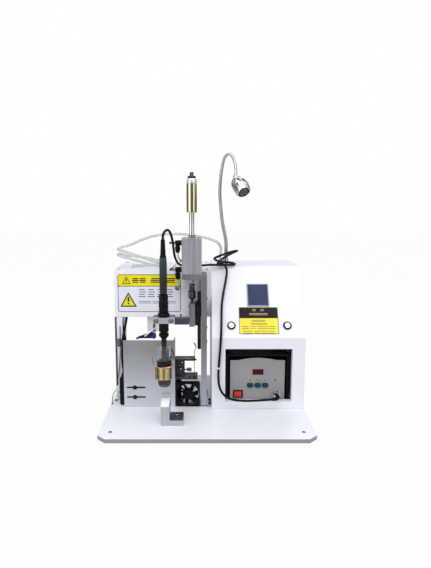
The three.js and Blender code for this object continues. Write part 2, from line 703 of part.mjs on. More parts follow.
function makeLamp() {
  const foot = turned([
    [0, BOX_TOP + GAP], [12, BOX_TOP + GAP], [12, BOX_TOP + 3], [8, BOX_TOP + 7], [5.5, BOX_TOP + 9],
    [5.5, BOX_TOP + 16], [0, BOX_TOP + 16],
  ], 28).translate(LAMP.x, LAMP.y, 0);
  const lower = cord([
    [43.5, 85, BOX_TOP + 8], [44, 85, 325], [43.5, 85, 351], [39.5, 85, 372], [35.4, 85, 392.3],
    [31.4, 85, 428.8], [30.2, 85, LAMP.bend - 1],
  ], LAMP.r * 2, 16, 12);
  add('lamp_stand', carve([foot, lower]), steel);
  const upper = cord([
    [30.1, 85, LAMP.bend + 1], [29.8, 85, 460.6], [31.3, 85, 486], [35.6, 84, 515.2], [40.1, 83, 529.6],
    [48, 81, 538.3], [54.5, 78, 533], [58.4, 75, 522.9], [61.5, 71.5, 512.3], [62.6, 67.5, 501],
    [62, 63.5, 490],
  ], LAMP.r * 2, 26, 12);
  add('lamp_neck', upper, steel);
  const profile = [[0, 0], [5.8, 0], [8.5, 4], [12.5, 14], [15.6, 27], [16.6, 37], [16.6, 43], [15.4, 45],
    [0, 45]];
  const head = add('lamp_head', turned(profile, 28), steel);
  const from = new THREE.Vector3(...HEAD.from);
  const aim = new THREE.Vector3(...HEAD.to).sub(from).normalize();
  head.position.copy(from);
  head.quaternion.setFromUnitVectors(new THREE.Vector3(0, 0, 1), aim);
}

// ---------------------------------------------------------------- cords

// The iron's lead leaves the handle upwards, bends over and drops behind the air cylinder.
const LEAD_MOVING = [
  [IRON_X, IRON_Y, 367.4],
  [-81.2, -91.9, 373.5], [-79, -89.8, 379.8], [-75, -84, 383.6], [-71, -75.5, 382], [-68, -66, 374.5],
  [-65.8, -55, 362.5], [-64.6, -41, 346.5], [-63.4, -23, 330], [-60, -4, 316.5], [-55.5, 12, 308.5],
  [-48, 23, 304.5], [-38, 27.5, 303.3],
];

// From there it runs to the tie on the control box, makes two bights, and hangs down to the station.
const LEAD_FIXED = [
  [-37.1, 27.7, 303.3], [-24, 30, 303], [-9, 34, 303.5], [7, 40, 304], [20, 45, 303.3],
  [30, 48.2, 302.9], [41, 50, 302.6], [51.3, 50.4, 302.8], [58.8, 53.4, 303.2], [61.9, 60.7, 303.8],
  [58.8, 68, 304.6], [51.3, 71, 305.5], [41, 69.8, 306.8], [28.5, 67.6, 309], [20.6, 64.6, 311.7],
  [17.6, 57.5, 315], [20.6, 50.5, 318.6], [28, 47.6, 322], [38, 47.6, 325.8], [48, 48.6, 329.2],
  [56.2, 50.4, 331.5], [63.7, 53.7, 332.4], [66.8, 61, 331.7], [63.7, 68.2, 329.3],
  [56.5, 71.2, 325.8], [46.5, 69.8, 320.6], [37.5, 65.8, 315.8], [31.8, 59.2, 312], [31, 51.3, 309.4],
  [34, 44.4, 306.7], [39, 40.3, 302.6], [42.6, 38.6, 296.6], [43.4, 35.8, 288.5], [41.8, 30.2, 277],
  [38.9, 22.8, 263], [34.9, 11.4, 245], [32, -0.5, 227], [30.6, -18.5, 200.5], [29.8, -33, 179],
  [28.6, -38.5, 160], [27.4, -40, 141], [24.8, -40.3, 104], [24.2, -41, 86], [26.2, -43.5, 66.5],
  [31.5, -46, 54.5], [41.5, -48.5, 45.3], [56.5, -50, 40.4], [79.7, -50, 38.5], [102.9, -49.8, 39],
  [124, -49, 40.2], [133.6, -48, 40.6],
];

// The hose leaves the control box, passes through the tie and arches over to its hank on the header.
const HOSE = [
  [31, 97, BOX_TOP + 4],
  [31.3, 96.5, 313], [32.6, 94, 325], [32.6, 89, 336.5], [26.5, 83, 346.8], [14, 78, 353.8],
  [-3, 74, 359.3], [-20, 71, 363], [-42, 68, 366.2], [-64.2, 66, 367.4], [-91.7, 65, 366.6],
  [-119, 65, 361.5], [-143, 67.4, 353], [-158, 68.6, 346],
];

function makeCords() {
  add('iron_lead_moving', cord(LEAD_MOVING, LEAD_D, 22), black);
  add('iron_lead_fixed', cord(LEAD_FIXED, LEAD_D, 78), black);
  const plugFront = -19 - 3.6 - GAP;
  const ring = bar([SOCKET.x, plugFront - 8, SOCKET.z], [SOCKET.x, plugFront, SOCKET.z], 8.2, 24);
  const boot = cord([
    [SOCKET.x, plugFront - 7, SOCKET.z], [SOCKET.x + 0.8, plugFront - 14, SOCKET.z - 0.3],
    [SOCKET.x - 0.2, plugFront - 20, SOCKET.z - 1], [SOCKET.x - 4.5, plugFront - 24, SOCKET.z - 1.8],
    [134, -48, 40.7],
  ], 8.4, 12, 12);
  add('iron_plug', carve([ring, boot]), black);

  add('air_hose', cord(HOSE, HOSE_D, 34), clearHose);
  const bottom = HEADER.z1 + GAP;
  const hank = outline([[-189, 322], [-189, 342], [-181, 346.5], [-164, 347.5], [-150, 333], [-120, 321],
    [-90, 310], [-85, 305], [-85, bottom], [-162, bottom], [-176, 308]]);
  const entry = bar([-172, 69, 343], [-157, 68.5, 346.4], 4.6, 12);
  const shape = carve([alongY(hank, 25.5, 72.5)], [entry]);
  add('air_hose_hank', shape, clearHose);

  add('motor_lead', cord([
    [-169, 40, 205], [-169.4, 37, 195], [-170.4, 28, 182], [-172.2, 17, 168], [-174.6, 11, 154],
    [-176.4, 9, 138], [-177, 8, 120], [-176.4, 6.6, 102], [-174.6, 5, 88], [-173, 4, 76.1],
  ], 5, 24), black);
}

makeBase();
makeBoxShell();
makeBoxRear();
makeStation();
makeCounterAndButtons();
makeInternals();
makeHeader();
makeColumn();
makeCylinder();
makeRail();
makeSpeedController('speed_controller_upper', 354);
makeSpeedController('speed_controller_lower', 300);
makeArm();
makeIron();
makeFeedArm();
makeShroud();
makePanel();
makeFeeder();
makeFan();
makeFixture();
makeLamp();
makeCords();

export default machine;
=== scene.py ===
"""Looks of a pneumatic spot-soldering machine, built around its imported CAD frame.

Lengths below are millimetres in the machine's own frame unless a name ends in _M. +X is the
operator's right, +Y is away from the operator and +Z is up. The origin is on the bench.
"""

import math

import bmesh
import bpy
from mathutils import Matrix, Vector


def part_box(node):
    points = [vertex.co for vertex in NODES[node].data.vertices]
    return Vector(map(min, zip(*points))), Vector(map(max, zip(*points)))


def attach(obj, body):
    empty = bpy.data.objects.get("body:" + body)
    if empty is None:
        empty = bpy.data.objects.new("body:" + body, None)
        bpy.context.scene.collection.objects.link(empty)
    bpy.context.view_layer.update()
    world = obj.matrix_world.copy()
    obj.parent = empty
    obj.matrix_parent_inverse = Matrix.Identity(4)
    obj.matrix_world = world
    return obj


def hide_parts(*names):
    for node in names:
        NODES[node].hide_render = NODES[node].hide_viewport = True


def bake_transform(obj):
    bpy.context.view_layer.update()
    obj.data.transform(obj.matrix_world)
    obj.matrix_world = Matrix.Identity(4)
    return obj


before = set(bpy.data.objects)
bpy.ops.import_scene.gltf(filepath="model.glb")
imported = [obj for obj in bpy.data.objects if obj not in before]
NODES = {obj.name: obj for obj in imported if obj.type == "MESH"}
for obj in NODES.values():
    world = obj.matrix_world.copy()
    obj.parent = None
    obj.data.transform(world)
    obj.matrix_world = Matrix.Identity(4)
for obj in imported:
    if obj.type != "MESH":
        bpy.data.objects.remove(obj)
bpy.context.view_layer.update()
MM = 0.001

# ---------------------------------------------------------------- places taken from the frame


def span(node):
    """Lowest and highest corner of a CAD node, in millimetres."""
    low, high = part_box(node)
    return low / MM, high / MM


def middle_of(node):
    """X, Y and Z of the middle of a CAD node's box."""
    return [(a + b) / 2 for a, b in zip(*span(node))]


FLOOR = span("base_plate")[1].z
BOX_LOW, BOX_HIGH = span("box_shell")
HEADER_LOW, HEADER_HIGH = span("header_box")
CYL_LOW, CYL_HIGH = span("air_cylinder")
ROD_X, ROD_Y, _ = middle_of("air_cylinder")
IRON_X, IRON_Y, _ = middle_of("iron_handle")
PANEL_LOW = span("station_panel")[0]
SHIELD_LOW, SHIELD_HIGH = span("shield_panel")
FAN_LOW = span("fan_frame")[0]
CLAMP_LOW, CLAMP_HIGH = span("clamp_jaw")
POST_LOW, POST_HIGH = span("fixture_block")

BEND = Vector((0, BOX_LOW.y, 165))  # where the control box's front starts to lean back
BROW = Vector((0, 55, BOX_HIGH.z))  # where the leaning face meets the top

LEAD_D = 4.8
HOSE_D = 6.0

# ---------------------------------------------------------------- camera

CAMERA_AT_M = (-0.013, -1.0487, 0.435)
CAMERA_DOWN = 8.97  # degrees below level
SENSOR_WIDTH = 36
LENS = 32.894
SHIFT_X = 0.0273


def make_camera():
    """The photograph's view: level with the lift, looking down by nine degrees."""
    data = bpy.data.cameras.new("camera")
    camera = bpy.data.objects.new("camera", data)
    bpy.context.scene.collection.objects.link(camera)
    camera.location = CAMERA_AT_M
    camera.rotation_euler = (math.radians(90 - CAMERA_DOWN), 0, 0)
    data.sensor_width = SENSOR_WIDTH
    data.lens = LENS
    data.shift_x = SHIFT_X
    bpy.context.scene.camera = camera


make_camera()

# ---------------------------------------------------------------- shapes: (points, faces) in millimetres


def merged(*shapes):
    points, faces = [], []
    for shape_points, shape_faces in shapes:
        start = len(points)
        points += shape_points
        faces += [[start + i for i in face] for face in shape_faces]
    return points, faces


def placed(shape, matrix):
    points, faces = shape
    return [matrix @ Vector(p) for p in points], faces


def moved(shape, x=0.0, y=0.0, z=0.0):
    return placed(shape, Matrix.Translation((x, y, z)))


def turn_to(aim):
    """Rotation that takes +Z to aim."""
    return Vector((0, 0, 1)).rotation_difference(Vector(aim)).to_matrix().to_4x4()


def through_bmesh(shape, work):
    """Runs work(bm) on a shape and gives the shape back."""
    bm = bmesh.new()
    verts = [bm.verts.new(p) for p in shape[0]]
    for face in shape[1]:
        bm.faces.new([verts[i] for i in face])
    bmesh.ops.recalc_face_normals(bm, faces=bm.faces)
    work(bm)
    bm.verts.index_update()
    points = [v.co.copy() for v in bm.verts]
    faces = [[v.index for v in face.verts] for face in bm.faces]
    bm.free()
    return points, faces


def eased(shape, width, segments=2, angle=30):
    """Rounds every edge that turns by more than angle degrees."""

    def work(bm):
        sharp = [e for e in bm.edges if e.is_manifold and e.calc_face_angle() > math.radians(angle)]
        bmesh.ops.bevel(
            bm, geom=sharp, offset=width, segments=segments, affect="EDGES", profile=0.5, clamp_overlap=True
        )

    return through_bmesh(shape, work)


def block(x0, x1, y0, y1, z0, z1, ease=0.4):
    points = [Vector((x, y, z)) for x in (x0, x1) for y in (y0, y1) for z in (z0, z1)]
    faces = [[0, 1, 3, 2], [4, 6, 7, 5], [0, 4, 5, 1], [2, 3, 7, 6], [0, 2, 6, 4], [1, 5, 7, 3]]
    shape = (points, faces)
    return eased(shape, ease) if ease else shape


def fluted(radius, count, depth):
    """Radius, by angle, of a round section with shallow grooves pressed into it."""
    return lambda angle: radius - depth * (0.5 - 0.5 * math.cos(count * angle))


def hexed(flats):
    """Radius, by angle, of a hexagon of this size across its flats."""
    return lambda angle: flats / 2 / math.cos(angle % (math.pi / 3) - math.pi / 6)


def crossed(reach, width):
    """Radius, by angle, of a cross whose arms are this long and half this wide."""

    def radius(angle):
        across, along = sorted((abs(math.cos(angle)), abs(math.sin(angle))))
        return min(reach / along, width / max(across, 1e-6))

    return radius


def turned(profile, sides=48):
    """Turns a profile of (radius, z) points about Z. A radius may be a function of the angle."""
    points, rings = [], []
    for radius, z in profile:
        if radius == 0:
            rings.append([len(points)])
            points.append(Vector((0, 0, z)))
            continue
        ring = []
        for i in range(sides):
            angle = 2 * math.pi * i / sides
            r = radius(angle) if callable(radius) else radius
            ring.append(len(points))
            points.append(Vector((r * math.cos(angle), r * math.sin(angle), z)))
        rings.append(ring)
    if profile[0] == profile[-1]:
        rings[-1] = rings[0]
    faces = []
    for low, high in zip(rings, rings[1:]):
        for i in range(sides):
            j = (i + 1) % sides
            if len(low) == 1:
                faces.append([low[0], high[j], high[i]])
            elif len(high) == 1:
                faces.append([low[i], low[j], high[0]])
            else:
                faces.append([low[i], low[j], high[j], high[i]])
    return points, faces


def ring_profile(inner, outer, z0, z1, ease=0.3):
    """Closed profile of a ring with eased outer corners."""
    e = ease
    return [
        (inner, z0), (outer - e, z0), (outer, z0 + e), (outer, z1 - e),
        (outer - e, z1), (inner, z1), (inner, z0),
    ]


def prism(outline, depth0, depth1):
    """Extrudes a 2D outline of (x, y) points along Z."""
    count = len(outline)
    points = [Vector((x, y, z)) for z in (depth0, depth1) for x, y in outline]
    faces = [list(range(count))[::-1], list(range(count, 2 * count))]
    for i in range(count):
        j = (i + 1) % count
        faces.append([i, j, count + j, count + i])
    return points, faces


def ring_prism(outer, inner, depth0, depth1):
    """Extrudes the strip between two outlines that have the same number of points."""
    count = len(outer)
    points = [Vector((x, y, z)) for z in (depth0, depth1) for line in (outer, inner) for x, y in line]
    faces = []
    for i in range(count):
        j = (i + 1) % count
        low_out, low_in, high_out, high_in = 0, count, 2 * count, 3 * count
        faces.append([low_out + i, low_in + i, low_in + j, low_out + j])
        faces.append([high_out + i, high_out + j, high_in + j, high_in + i])
        faces.append([low_out + i, low_out + j, high_out + j, high_out + i])
        faces.append([low_in + i, high_in + i, high_in + j, low_in + j])
    return points, faces


def rounded(x0, x1, y0, y1, corner, steps=5):
    """Outline of a rectangle with round corners."""
    line = []
    for cx, cy, start in (
        (x1 - corner, y0 + corner, -90),
        (x1 - corner, y1 - corner, 0),
        (x0 + corner, y1 - corner, 90),
        (x0 + corner, y0 + corner, 180),
    ):
        for i in range(steps + 1):
            angle = math.radians(start + 90 * i / steps)
            line.append((cx + corner * math.cos(angle), cy + corner * math.sin(angle)))
    return line


def each(parts, place, *where):
    """Places every shape of a list of (shape, material)."""
    return [(place(shape, *where), finish) for shape, finish in parts]


def regular(radius, sides, start=0.0):
    """Outline of a regular polygon."""
    step = 2 * math.pi / sides
    return [(radius * math.cos(start + i * step), radius * math.sin(start + i * step)) for i in range(sides)]


FRONT = Matrix(((1, 0, 0, 0), (0, 0, -1, 0), (0, 1, 0, 0), (0, 0, 0, 1)))  # (x, z, towards the operator)


def on_front(shape, y):
    """Puts a shape drawn in (x, z, depth) on a face that looks at the operator, at that Y."""
    return moved(placed(shape, FRONT), y=y)


LEAN = (BROW - BEND).normalized()
SLOPE = Matrix.Translation(BEND) @ Matrix(
    ((1, 0, 0, 0), (0, LEAN.y, -LEAN.z, 0), (0, LEAN.z, LEAN.y, 0), (0, 0, 0, 1))
)


# ---------------------------------------------------------------- routes and tubes


def smooth_route(points, per_span):
    """Samples a centripetal Catmull-Rom curve through the points."""
    p = [Vector(q) for q in points]
    p = [p[0] * 2 - p[1]] + p + [p[-1] * 2 - p[-2]]
    out = []
    for i in range(1, len(p) - 2):
        knots = [0.0]
        for a, b in zip(p[i - 1 : i + 2], p[i : i + 3]):
            knots.append(knots[-1] + math.sqrt((b - a).length))
        t0, t1, t2, t3 = knots
        last = i == len(p) - 3
        for k in range(per_span + (1 if last else 0)):
            t = t1 + (t2 - t1) * k / per_span
            a1 = p[i - 1] * ((t1 - t) / (t1 - t0)) + p[i] * ((t - t0) / (t1 - t0))
            a2 = p[i] * ((t2 - t) / (t2 - t1)) + p[i + 1] * ((t - t1) / (t2 - t1))
            a3 = p[i + 1] * ((t3 - t) / (t3 - t2)) + p[i + 2] * ((t - t2) / (t3 - t2))
            b1 = a1 * ((t2 - t) / (t2 - t0)) + a2 * ((t - t0) / (t2 - t0))
            b2 = a2 * ((t3 - t) / (t3 - t1)) + a3 * ((t - t1) / (t3 - t1))
            out.append(b1 * ((t2 - t) / (t2 - t1)) + b2 * ((t - t1) / (t2 - t1)))
    return out


def route_length(line):
    return sum((b - a).length for a, b in zip(line, line[1:]))


def evenly(line, step):
    """Walks along a line and gives points at one spacing."""
    count = max(2, round(route_length(line) / step))
    step = route_length(line) / count
    out = [line[0].copy()]
    walked = 0.0
    for a, b in zip(line, line[1:]):
        piece_length = (b - a).length
        while len(out) < count and walked + piece_length >= step * len(out):
            out.append(a.lerp(b, (step * len(out) - walked) / piece_length))
        walked += piece_length
    out.append(line[-1].copy())
    return out


def along(points, step, per_span=12):
    """Smooth line through the points, in even steps."""
    return evenly(smooth_route(points, per_span), step)


def tube(line, radius, sides=16):
    """A capped round tube along a line. Radius is a number or a function of the distance from the start."""
    points, faces = [], []
    tangent = (line[1] - line[0]).normalized()
    side = tangent.orthogonal().normalized()
    walked = 0.0
    for k, p in enumerate(line):
        before = line[max(k - 1, 0)]
        after = line[min(k + 1, len(line) - 1)]
        new_tangent = (after - before).normalized()
        side = tangent.rotation_difference(new_tangent) @ side
        tangent = new_tangent
        up = tangent.cross(side)
        if k:
            walked += (p - line[k - 1]).length
        r = radius(walked) if callable(radius) else radius
        for i in range(sides):
            angle = 2 * math.pi * i / sides
            points.append(p + (side * math.cos(angle) + up * math.sin(angle)) * r)
    for k in range(len(line) - 1):
        for i in range(sides):
            j = (i + 1) % sides
            a, b = k * sides, (k + 1) * sides
            faces.append([a + i, a + j, b + j, b + i])
    faces.append(list(range(sides))[::-1])
    faces.append(list(range(len(points) - sides, len(points))))
    return points, faces


# ---------------------------------------------------------------- pieces


def make_piece(name, parts, smooth=35):
    """One mesh object from a list of (shape, material)."""
    mesh = bpy.data.meshes.new(name)
    points, faces, owners = [], [], []
    for index, (shape, finish) in enumerate(parts):
        start = len(points)
        points += [Vector(p) * MM for p in shape[0]]
        faces += [[start + i for i in face] for face in shape[1]]
        owners += [index] * len(shape[1])
        mesh.materials.append(finish)
    mesh.from_pydata(points, [], faces)
    mesh.polygons.foreach_set("material_index", owners)
    bm = bmesh.new()
    bm.from_mesh(mesh)
    bmesh.ops.recalc_face_normals(bm, faces=bm.faces)
    bm.to_mesh(mesh)
    bm.free()
    mesh.shade_smooth()
    mesh.set_sharp_from_angle(angle=math.radians(smooth))
    obj = bpy.data.objects.new(name, mesh)
    bpy.context.scene.collection.objects.link(obj)
    return obj


def add(name, parts, body="frame", stands_for=(), smooth=35):
    obj = make_piece(name, parts, smooth)
    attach(obj, body)
    if stands_for:
        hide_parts(*stands_for)
    return obj


def dress(nodes, finish, ease=0.5, segments=2):
    """Gives CAD nodes a material and rounds their sharp edges."""
    for name in nodes:
        obj = NODES[name]
        obj.data.materials.clear()
        obj.data.materials.append(finish)
        normals = obj.data.attributes.get("custom_normal")
        if normals:
            obj.data.attributes.remove(normals)
        obj.data.shade_smooth()
        weld = obj.modifiers.new("weld", "WELD")
        weld.merge_threshold = 1e-5
        flat = obj.modifiers.new("flat", "DECIMATE")
        flat.decimate_type = "DISSOLVE"
        flat.angle_limit = math.radians(0.3)
        edge = obj.modifiers.new("edge", "BEVEL")
        edge.width = ease * MM
        edge.segments = segments
        edge.limit_method = "ANGLE"
        edge.angle_limit = math.radians(32)
        edge.use_clamp_overlap = True
        shade = obj.modifiers.new("shade", "WEIGHTED_NORMAL")
        shade.keep_sharp = True


# ---------------------------------------------------------------- materials


def rgb(code):
    """Linear colour from a display colour in hexadecimal."""
    return tuple((c / 255) ** 2.2 for c in code.to_bytes(3, "big")) + (1.0,)


def new_node(tree, kind, values=None, feeds=None, **options):
    """Adds a shader node, sets its inputs to values and links them to the sockets in feeds."""
    made = tree.nodes.new("ShaderNode" + kind)
    for option, value in options.items():
        setattr(made, option, value)
    for socket, value in (values or {}).items():
        made.inputs[socket].default_value = value
    for socket, source in (feeds or {}).items():
        tree.links.new(source, made.inputs[socket])
    return made


def color_ramp(tree, stops, factor):
    """Colour by factor, through stops of (position, colour)."""
    made = new_node(tree, "ValToRGB", feeds={"Fac": factor})
    elements = made.color_ramp.elements
    elements.remove(elements[1])
    for index, (at, color) in enumerate(stops):
        stop = elements.new(at) if index else elements[0]
        stop.position = at
        stop.color = color
    return made.outputs["Color"]


def surface(
    name, color, shade, shade_scale, roughness, metallic=0.0, spread=0.06, grain=None, stretch=(1, 1, 1),
    sockets=None,
):
    """A principled material. Noise in object space varies its colour between color and shade, its
    roughness by spread either way, and its surface by grain, which is (scale, height in mm)."""
    made = bpy.data.materials.new(name)
    made.use_nodes = True
    tree = made.node_tree
    shader = tree.nodes["Principled BSDF"]
    for socket, value in {"Metallic": metallic, **(sockets or {})}.items():
        shader.inputs[socket].default_value = value
    bright = rgb(color)
    dark = rgb(shade) if shade else tuple(c * 0.9 for c in bright[:3]) + (1,)
    place = new_node(tree, "TexCoord")
    mapping = new_node(tree, "Mapping", {"Scale": stretch}, {"Vector": place.outputs["Object"]})
    at = {"Vector": mapping.outputs["Vector"]}
    cloud = new_node(tree, "TexNoise", {"Scale": shade_scale, "Detail": 6, "Roughness": 0.62}, at)
    blend = color_ramp(tree, [(0.3, dark), (0.72, bright)], cloud.outputs["Fac"])
    gloss = new_node(tree, "MapRange", {
        "From Min": 0.25, "From Max": 0.75,
        "To Min": max(roughness + spread, 0.0), "To Max": max(roughness - spread, 0.02),
    }, {"Value": cloud.outputs["Fac"]})
    tree.links.new(blend, shader.inputs["Base Color"])
    tree.links.new(gloss.outputs["Result"], shader.inputs["Roughness"])
    if grain:
        fine = new_node(tree, "TexNoise", {"Scale": grain[0], "Detail": 3}, at)
        height = {"Height": fine.outputs["Fac"]}
        bump = new_node(tree, "Bump", {"Strength": 1.0, "Distance": grain[1] * MM}, height)
        tree.links.new(bump.outputs["Normal"], shader.inputs["Normal"])
    return made


def axis_of(made, output, axis):
    """One axis of a point's place (Object) or of a face's direction (Normal), in the object's own space."""
    place = new_node(made.node_tree, "TexCoord")
    split = new_node(made.node_tree, "SeparateXYZ", feeds={"Vector": place.outputs[output]})
    return split.outputs[axis]


def recolored(made, mix_inputs, mix_feeds, plain_input, **options):
    """Puts a colour mix between a material's shader and the colour that it has."""
    tree = made.node_tree
    color = tree.nodes["Principled BSDF"].inputs["Base Color"]
    feeds = {**mix_feeds, plain_input: color.links[0].from_socket}
    mix = new_node(tree, "Mix", mix_inputs, feeds, data_type="RGBA", **options)
    tree.links.new(mix.outputs["Result"], color)
    return made


def tinted(made, color, factor):
    """Takes a material's colour over from a plain one, as factor goes from 0 to 1."""
    return recolored(made, {"A": rgb(color)}, {"Factor": factor}, "B")


def graded_by_height(made, low_z, high_z, low_color):
    """Tints a material towards low_color from one height down to another."""
    rise = new_node(
        made.node_tree, "MapRange", {"From Min": low_z * MM, "From Max": high_z * MM},
        {"Value": axis_of(made, "Object", "Z")},
    )
    return tinted(made, low_color, rise.outputs["Result"])


def painted_reflection_bands(made, stops):
    """Multiplies a material's colour by upright light and dark bands set by which way each face looks
    sideways: painted highlights and painted reflections. Stops are (sideways lean of the face from -1 to 1,
    grey level)."""
    tree = made.node_tree
    lean = new_node(tree, "MapRange", {"From Min": -1.0}, {"Value": axis_of(made, "Normal", "X")})
    greys = [((at + 1) / 2, (level, level, level, 1)) for at, level in stops]
    reflection_bands = color_ramp(tree, greys, lean.outputs["Result"])
    return recolored(made, {"Factor": 1.0}, {"B": reflection_bands}, "A", blend_type="MULTIPLY")


def painted_side_shade(made, side):
    """Gives the faces that look sideways a colour of their own: painted shade on the sides."""
    level = new_node(made.node_tree, "Math", feeds={0: axis_of(made, "Normal", "Z")}, operation="ABSOLUTE")
    return tinted(made, side, level.outputs["Value"])


DULL = {"Specular IOR Level": 0.16}  # keeps black mouldings deep under soft lights

white_coat = surface("white_powder_coat", 0xECECF2, 0xE5E5EE, 9, 0.42, grain=(950, 0.035))
# The plate's edges are a darker grey than its top: painted shade on the sides.
plate_coat = painted_side_shade(surface("white_plate_coat", 0xEAEDF3, 0xE4E7EE, 7, 0.36, grain=(800, 0.03)), 0x92959C)
# Lighter towards the bottom: painted light near the white base plate.
grey_coat = graded_by_height(
    surface("grey_panel_coat", 0x989A9C, 0x8C8E91, 14, 0.4, 0.35, grain=(1200, 0.03)),
    20, 140, 0xCED1D8,
)
# Lighter towards the bottom: painted light near the white base plate.
brushed = graded_by_height(
    surface("brushed_aluminium", 0x969798, 0x7C7D80, 60, 0.4, 0.8, grain=(700, 0.02), stretch=(1, 1, 0.06)),
    20, 160, 0xBABCC2,
)
post_grey = surface(
    "fixture_aluminium", 0xC4C7CE, 0xB0B3BB, 60, 0.42, 0.7, grain=(700, 0.02), stretch=(1, 1, 0.06),
)
# Darker than the clamp's aluminium: painted shade on the arm behind the clamp jaw.
arm_painted_shade_grey = surface(
    "arm_aluminium_painted_shade", 0x6E6D72, 0x545359, 70, 0.34, 0.9, grain=(800, 0.02), stretch=(0.06, 1, 1),
)
milled = surface(
    "milled_aluminium", 0x9E9FA3, 0x7E7F84, 70, 0.34, 0.9, grain=(800, 0.02), stretch=(0.06, 1, 1),
)
clamp_bright = surface(
    "clamp_aluminium", 0xC4C4C8, 0xAAAAAF, 70, 0.36, 0.7, grain=(800, 0.02), stretch=(0.06, 1, 1),
)
# Strong upright streaks: partly the metal's own uneven tone, partly painted reflection bands on the flat
# faces.
anodised = surface(
    "hard_anodised", 0xE0E2E4, 0xA0A2A8, 50, 0.3, 0.75, grain=(1000, 0.015), stretch=(1, 1, 0.02),
)
polished = surface("polished_steel", 0xD8D8D8, 0xCECED0, 120, 0.07, 1.0, spread=0.005, stretch=(1, 1, 0.1))
warm_steel = surface("plated_sleeve", 0xDED3B2, 0xD6CAA8, 80, 0.08, 1.0, spread=0.005, stretch=(1, 1, 0.1))
satin_cream = surface("satin_shoulder", 0xE8E4D2, 0xDED9C4, 80, 0.3, 0.6, spread=0.02)
dark_chrome = surface("dark_chrome", 0x68686C, 0x46464A, 120, 0.14, 1.0, spread=0.03)
nickel = surface("bright_nickel", 0xCCCCCB, 0xB0B0B0, 160, 0.13, 1.0, spread=0.05)
zinc = surface("zinc_screw", 0xA8AAAC, 0x787A7E, 260, 0.3, 1.0, grain=(2400, 0.02))
dark_screw = surface("black_oxide_screw", 0x28282C, 0x121214, 300, 0.34, 0.7, grain=(2400, 0.02))
gunmetal = surface("blackened_steel", 0x2E2E32, 0x121215, 120, 0.34, 0.7, grain=(1500, 0.02))
heated = surface("heated_barrel", 0x3C3838, 0x181416, 90, 0.32, 0.8, grain=(1600, 0.02))
# Painted highlights and painted dark reflections: upright bands on the brass, set by which way each face
# looks.
brass = painted_reflection_bands(
    surface("polished_brass", 0xEEDC9E, 0xD8C27E, 60, 0.16, 0.9, spread=0.03),
    [
        (-1, 0.1), (-0.72, 0.16), (-0.5, 0.9), (-0.26, 1), (-0.08, 0.34), (0.1, 0.34), (0.3, 1), (0.5, 0.7),
        (0.8, 0.2), (1, 0.1),
    ],
)
copper = surface("copper_wire", 0xCEAC92, 0xAA846A, 200, 0.2, 1.0, grain=(2500, 0.01))
brown_enamel = surface("brown_enamel", 0x220A08, 0x120505, 120, 0.22, sockets={"Specular IOR Level": 0.3})
black_plastic = surface("black_plastic", 0x141416, 0x0B0B0C, 90, 0.4, grain=(2200, 0.03), sockets=DULL)
gloss_black = surface("gloss_black", 0x101013, 0x08080A, 60, 0.26, grain=(900, 0.01), sockets=DULL)
rubber = surface("moulded_rubber", 0x18181A, 0x0E0E0F, 120, 0.66, grain=(1500, 0.05), sockets=DULL)
jacket = surface("lead_jacket", 0x1A1B1F, 0x0E0E11, 60, 0.34, spread=0.08, grain=(1600, 0.03), sockets=DULL)
case_grey = surface("station_case_coat", 0x14161C, 0x0A0B0F, 60, 0.5, grain=(1500, 0.06), sockets=DULL)
panel_face = surface("station_face", 0x969594, 0x8C8C8C, 22, 0.5, grain=(1700, 0.03))
key_teal = surface("key_teal", 0x184A5A, 0x103644, 140, 0.4, grain=(1900, 0.03), sockets=DULL)
rocker_red = surface(
    "rocker_red", 0xD61E1A, 0xB21010, 70, 0.24, grain=(900, 0.01), sockets={"Coat Weight": 0.3},
)
display_red = surface("display_window", 0x460C12, 0x36080E, 60, 0.24, grain=(400, 0.005), sockets=DULL)
segment_red = surface("display_segment", 0x701A1E, 0x5C1216, 200, 0.34, grain=(900, 0.01), sockets=DULL)
screen_blue = surface("screen_blue", 0x34405E, 0x26324C, 26, 0.3, sockets=DULL)
screen_bezel = surface("screen_bezel", 0x9898AA, 0x8C8C9E, 50, 0.4, grain=(1500, 0.03))
label_yellow = surface("label_yellow", 0xEEE022, 0xE4D218, 40, 0.36, grain=(700, 0.01))
label_black = surface("label_black", 0x1E1C18, 0x141211, 50, 0.42, grain=(700, 0.01), sockets=DULL)
label_cream = surface("label_cream", 0xB0A876, 0xA09868, 50, 0.4, grain=(700, 0.01))
label_white = surface("label_white", 0xE6E7F2, 0xDEDFEC, 40, 0.36, grain=(700, 0.01))
label_olive = surface("label_olive", 0x78703A, 0x605A2E, 60, 0.4, grain=(700, 0.01))
# Painted shadow for the header leg's left edge.
leg_shadow_grey = surface("leg_painted_shadow", 0x585660, 0x42404A, 90, 0.5, grain=(1200, 0.03))
bushing_violet = surface("bushing_violet", 0x746E8A, 0x5C5874, 90, 0.4, grain=(700, 0.01))
violet = surface("violet_anodised", 0x282054, 0x14102C, 80, 0.3, 0.5, grain=(1500, 0.01))
blue_knob = surface("blue_knob", 0x4242AA, 0x1E1C5C, 120, 0.26, 0.4, grain=(1500, 0.01))
circuit_green = surface("circuit_green", 0x22623E, 0x184C30, 300, 0.4, grain=(1200, 0.05))
sheet_metal = surface("zinc_sheet", 0xB0B2B4, 0x929498, 24, 0.38, 0.9, grain=(600, 0.02))
clear_glass = surface(
    "clear_glass", 0xF6F7F8, 0xECEEF0, 40, 0.03, spread=0.01,
    sockets={"Transmission Weight": 1.0, "IOR": 1.45},
)
clear_hose = surface(
    "clear_hose", 0xDEE3DE, 0xD0D6D1, 60, 0.16, spread=0.04,
    sockets={"Transmission Weight": 0.6, "IOR": 1.2},
)
lens_black = surface("lamp_lens", 0x1A1B1E, 0x101012, 120, 0.08, grain=(500, 0.02))
